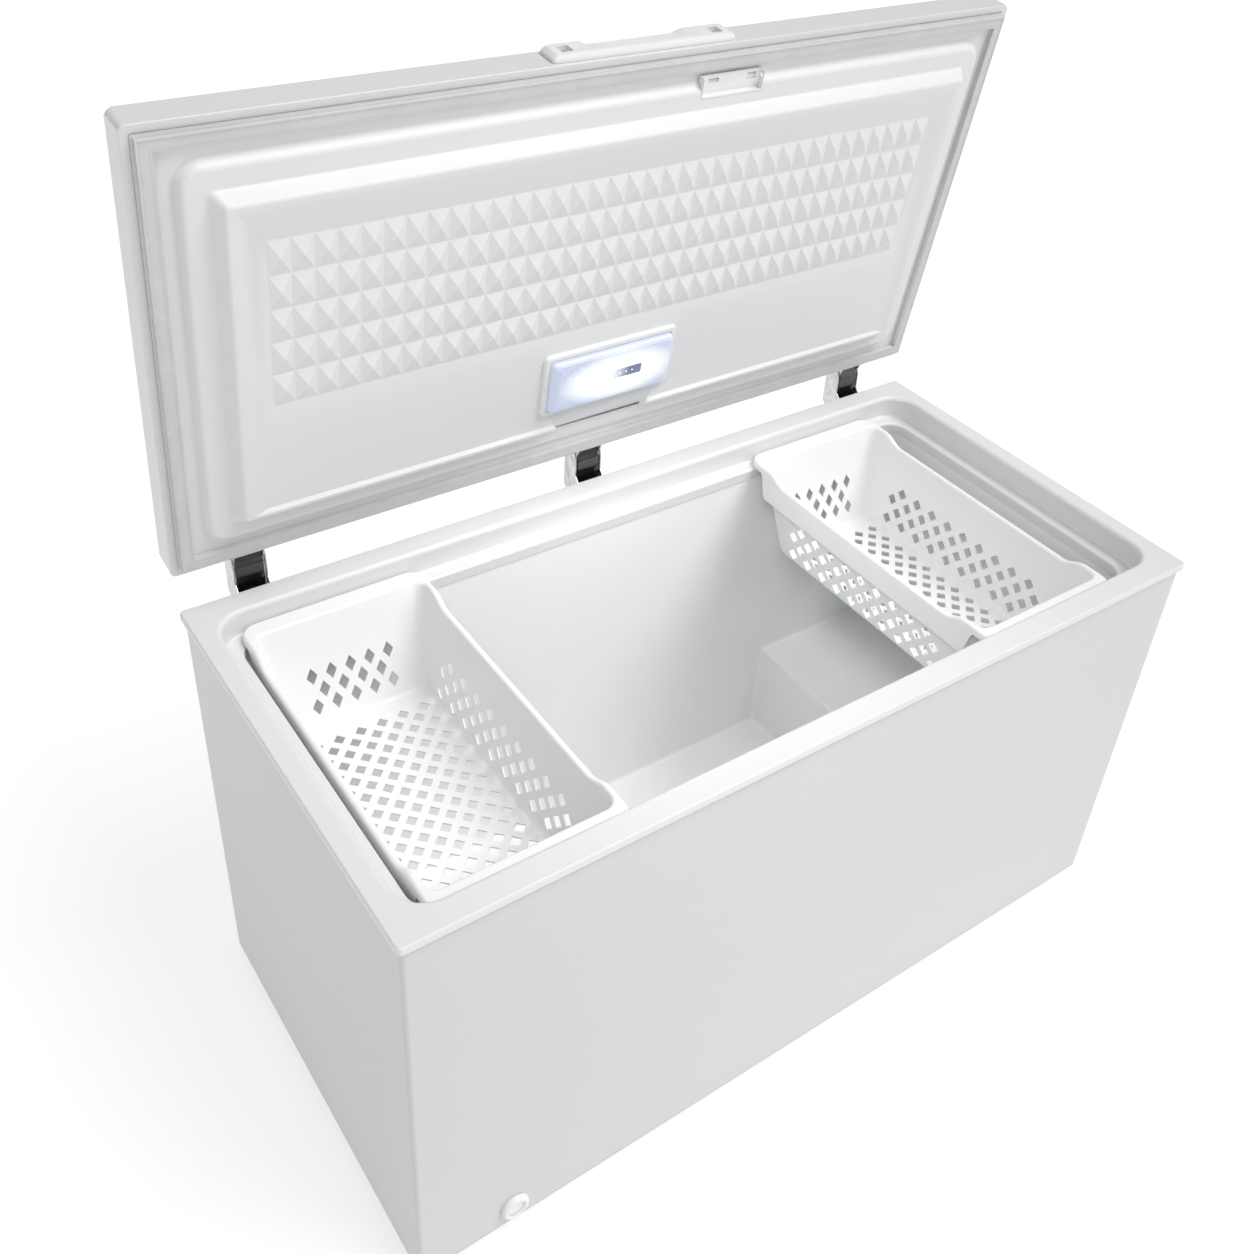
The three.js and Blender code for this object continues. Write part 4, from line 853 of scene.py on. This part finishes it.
def makeBasket(node, style):
    low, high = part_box(node)
    midX, midY = (low.x + high.x) / 2, (low.y + high.y) / 2
    halfX, halfY = (high.x - low.x) / 2, (high.y - low.y) / 2          # over the band and the end rims
    bodyX, bodyY = halfX - style["bandOut"], halfY - style["rimEnd"]
    tall = high.z - low.z - style["under"]

    def ring(x, y, z, radius):
        return -x, x, -y, y, z, radius, 6

    bm = bmesh.new()
    loops = loft(bm, [ring(bodyX - style["taperSide"], bodyY - style["taperEnd"], 0, 18 * mm),
                      ring(bodyX, bodyY, tall, style["corner"]),
                      ring(halfX, halfY, tall, style["corner"] + 4 * mm),
                      ring(halfX, halfY, tall - style["rimDrop"], style["corner"] + 4 * mm)], capStart=True)
    soften(bm, loops[0], style["floorRound"], 4)
    soften(bm, lineEdges(loops[1]) + lineEdges(loops[2]), style["rimRound"], 4)
    # cuts across the long walls, so that the rim can dip and the band can drop
    for y in [*range(190, 239, 6), *range(242, 259, 4)]:
        for way in (-1, 1):
            bmesh.ops.bisect_plane(bm, geom=bm.verts[:] + bm.edges[:] + bm.faces[:], plane_co=(0, way * y * mm, 0),
                                   plane_no=(0, 1, 0))
    for z in (tall - style["dipDepth"], tall - style["dipDepth"] / 2):
        inner = [f for f in bm.faces if all(abs(v.co.x) <= bodyX + 1e-5 and abs(v.co.y) <= bodyY + 1e-5 for v in f.verts)]
        parts = inner + list({e for f in inner for e in f.edges}) + list({v for f in inner for v in f.verts})
        bmesh.ops.bisect_plane(bm, geom=parts, plane_co=(0, 0, z), plane_no=(0, 0, 1))
    bandStart, bandStop = style["bandEnd"]
    for v in bm.verts:
        y = abs(v.co.y)
        outer = abs(v.co.x) > bodyX + style["bandOut"] - 0.02 * mm or y > halfY - 0.02 * mm
        if v.co.z < tall - style["rimDrop"] + 0.1 * mm and outer:
            full = 1 - smooth((y - bandStart) / (bandStop - bandStart))
            v.co.z = tall - style["rimDrop"] - (style["band"] - style["rimDrop"]) * full
            continue
        lift = smooth((v.co.z - (tall - style["dipDepth"])) / style["dipDepth"])
        v.co.z -= style["dip"] * lift * (1 - smooth((y - style["dipFlat"]) / (style["dipEnd"] - style["dipFlat"])))
    settle(bm, (0, 0, -1))

    holes = bmesh.new()
    share = style["hole"]
    endLean = math.atan2(style["taperEnd"], tall)
    sideLean = math.atan2(style["taperSide"], tall)
    for way in (-1, 1):
        for row in range(style["endRows"]):
            up = tall * style["endStart"] + row * style["endRow"]
            out = bodyY - style["taperEnd"] * (1 - up / tall)
            count = 5 if row % 2 == 0 else 4
            for i in range(count):
                x = (i - (count - 1) / 2) * style["endPitch"]
                diamond(holes, style["endPitch"] * share, style["endRow"] * 2 * share, 26 * mm,
                        Matrix.Translation((x, way * out, up)) @ Matrix.Rotation(way * (math.pi / 2 - endLean), 4, "X"))
        for row in range(style["sideRows"]):
            up = tall * style["sideStart"] + row * style["sideRow"]
            out = bodyX - style["taperSide"] * (1 - up / tall)
            count = 10 if row % 2 == 0 else 9
            for i in range(count):
                y = (i - (count - 1) / 2) * style["sidePitch"]
                turn = Matrix.Rotation(math.pi / 2, 4, "Z") @ Matrix.Rotation(math.pi / 2 + sideLean * way, 4, "X")
                diamond(holes, style["sidePitch"] * share, style["sideRow"] * 2 * share, 8 * mm,
                        Matrix.Translation((way * (out - 1 * mm), y, up)) @ turn)
    half = style["floorRows"] // 2
    for row in range(-half, half + 1):
        count = 6 if row % 2 == 0 else 5
        for i in range(count):
            diamond(holes, style["floorPitch"] * share, style["floorRow"] * 2 * share, 20 * mm,
                    Matrix.Translation(((i - (count - 1) / 2) * style["floorPitch"], row * style["floorRow"], 0)))
    bmesh.ops.recalc_face_normals(holes, faces=holes.faces)
    bm = carve(bm, holes, style["wall"], node)
    place = Matrix.Translation((midX, midY, low.z))
    makePiece(node + "_moulded", bm, basketPlastic, node, (node,), place, edge=0.45 * mm, segments=2, angle=48)


makeBasket("basket_left", basketStyle)
makeBasket("basket_right", basketStyle)
print("baskets done")


# everything else keeps its CAD shape, with broken edges and its own finish

otherPieces = dict(
    outer_wrap=(paint, 0), rear_panel=(zinc, 0), base_pan=(panBlack, 0.3), cabinet_foam=(foamYellow, 0),
    evaporator_coil=(zinc, 0), condenser_coil=(copper, 0), compressor_plate=(zinc, 0.4), compressor=(panBlack, 0),
    start_relay=(panBlack, 0.6), filter_dryer=(copper, 0), side_grille=(trimPlastic, 0.5),
    power_light=(trimPlastic, 0.3), thermostat=(zinc, 0.4), thermostat_knob=(trimPlastic, 0.4),
    cord_gland=(blackRubber, 0.4), drain_tube=(trimPlastic, 0), drain_cap=(trimPlastic, 0),
    drain_plug=(trimPlastic, 0.3), lid_foam=(foamYellow, 0), handle_screw_left=(zinc, 0.2),
    handle_screw_right=(zinc, 0.2), latch_pocket=(trimPlastic, 0.4), led_board=(board, 0), tilt_switch=(zinc, 0.3))
for node, (material, edge) in otherPieces.items():          # finish, and edge radius in millimetres
    refined(node, material, edge * mm)
for corner in ("front_left", "front_right", "rear_left", "rear_right"):
    refined("foot_" + corner, blackRubber, 0.6 * mm)
for corner in ("front_left", "front_right", "rear_left", "rear_right"):
    refined("grommet_" + corner, blackRubber)
print("remaining pieces done")


# floor, light and camera

floorMesh = bmesh.new()
bmesh.ops.create_grid(floorMesh, x_segments=1, y_segments=1, size=40.0)
floor = looseObject(floorMesh, "floor")
f = Finish("pale_floor", {"Emission Color": (1, 1, 1, 1), "Emission Strength": 0.74})
haze = f.noise(0.6, 2.0)
floor.data.materials.append(f.set({"Base Color": f.blend(haze, grey(0.34), grey(0.36)), "Roughness": 0.8 + 0.1 * haze}))

world = bpy.data.worlds.new("studio")
bpy.context.scene.world = world
world.use_nodes = True
world.node_tree.nodes["Background"].inputs["Color"].default_value = (1, 1, 1, 1)
world.node_tree.nodes["Background"].inputs["Strength"].default_value = 0.42


def makeLight(name, kind, place, target, power, **settings):
    light = bpy.data.lights.new(name, kind)
    light.energy = power
    for key, value in settings.items():
        setattr(light, key, value)
    made = bpy.data.objects.new(name, light)
    made.location = place
    made.rotation_euler = (Vector(target) - Vector(place)).to_track_quat("-Z", "Y").to_euler()
    bpy.context.scene.collection.objects.link(made)
    return made


makeLight("key_light", "SUN", (2.0, -2.2, 4.4), (0, 0, 0), 2.1, angle=0.6)
makeLight("inside_light", "SPOT", (-0.95, -1.15, 2.25), (0.15, 0.02, 0.62), 52, spot_size=math.radians(46), spot_blend=1.0,
          shadow_soft_size=0.4)
lampLow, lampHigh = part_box("lamp_lens")
beforeLamp = ((lampLow.x + lampHigh.x) / 2, lampLow.y - 0.2, (lampLow.z + lampHigh.z) / 2)
glow = makeLight("lamp_glow", "AREA", beforeLamp, (0, -0.12, 0.3), 0.8, shape="RECTANGLE", size=0.2, size_y=0.08,
                 color=(0.96, 0.98, 1.0))
glow.parent = frame["bodies"]["lid"]
glow.visible_camera = False

scene = bpy.context.scene
scene.view_settings.view_transform = "Standard"
scene.view_settings.look = "None"

cameraStyle = dict(place=(-1.086344, -1.258823, 1.999234), ahead=(0.51300, 0.64426, -0.56724), above=(0.28403, 0.49620, 0.82044),
                   lens=39.11, shift=(-0.0337, -0.0913))
camera = bpy.data.objects.new("camera", bpy.data.cameras.new("camera"))
camera.data.sensor_width, camera.data.lens = 36.0, cameraStyle["lens"]
camera.data.shift_x, camera.data.shift_y = cameraStyle["shift"]
back = -Vector(cameraStyle["ahead"]).normalized()
right = Vector(cameraStyle["above"]).cross(back).normalized()
camera.matrix_world = Matrix.Translation(cameraStyle["place"]) @ Matrix((right, back.cross(right), back)).transposed().to_4x4()
scene.collection.objects.link(camera)
scene.camera = camera

print("scene ready")
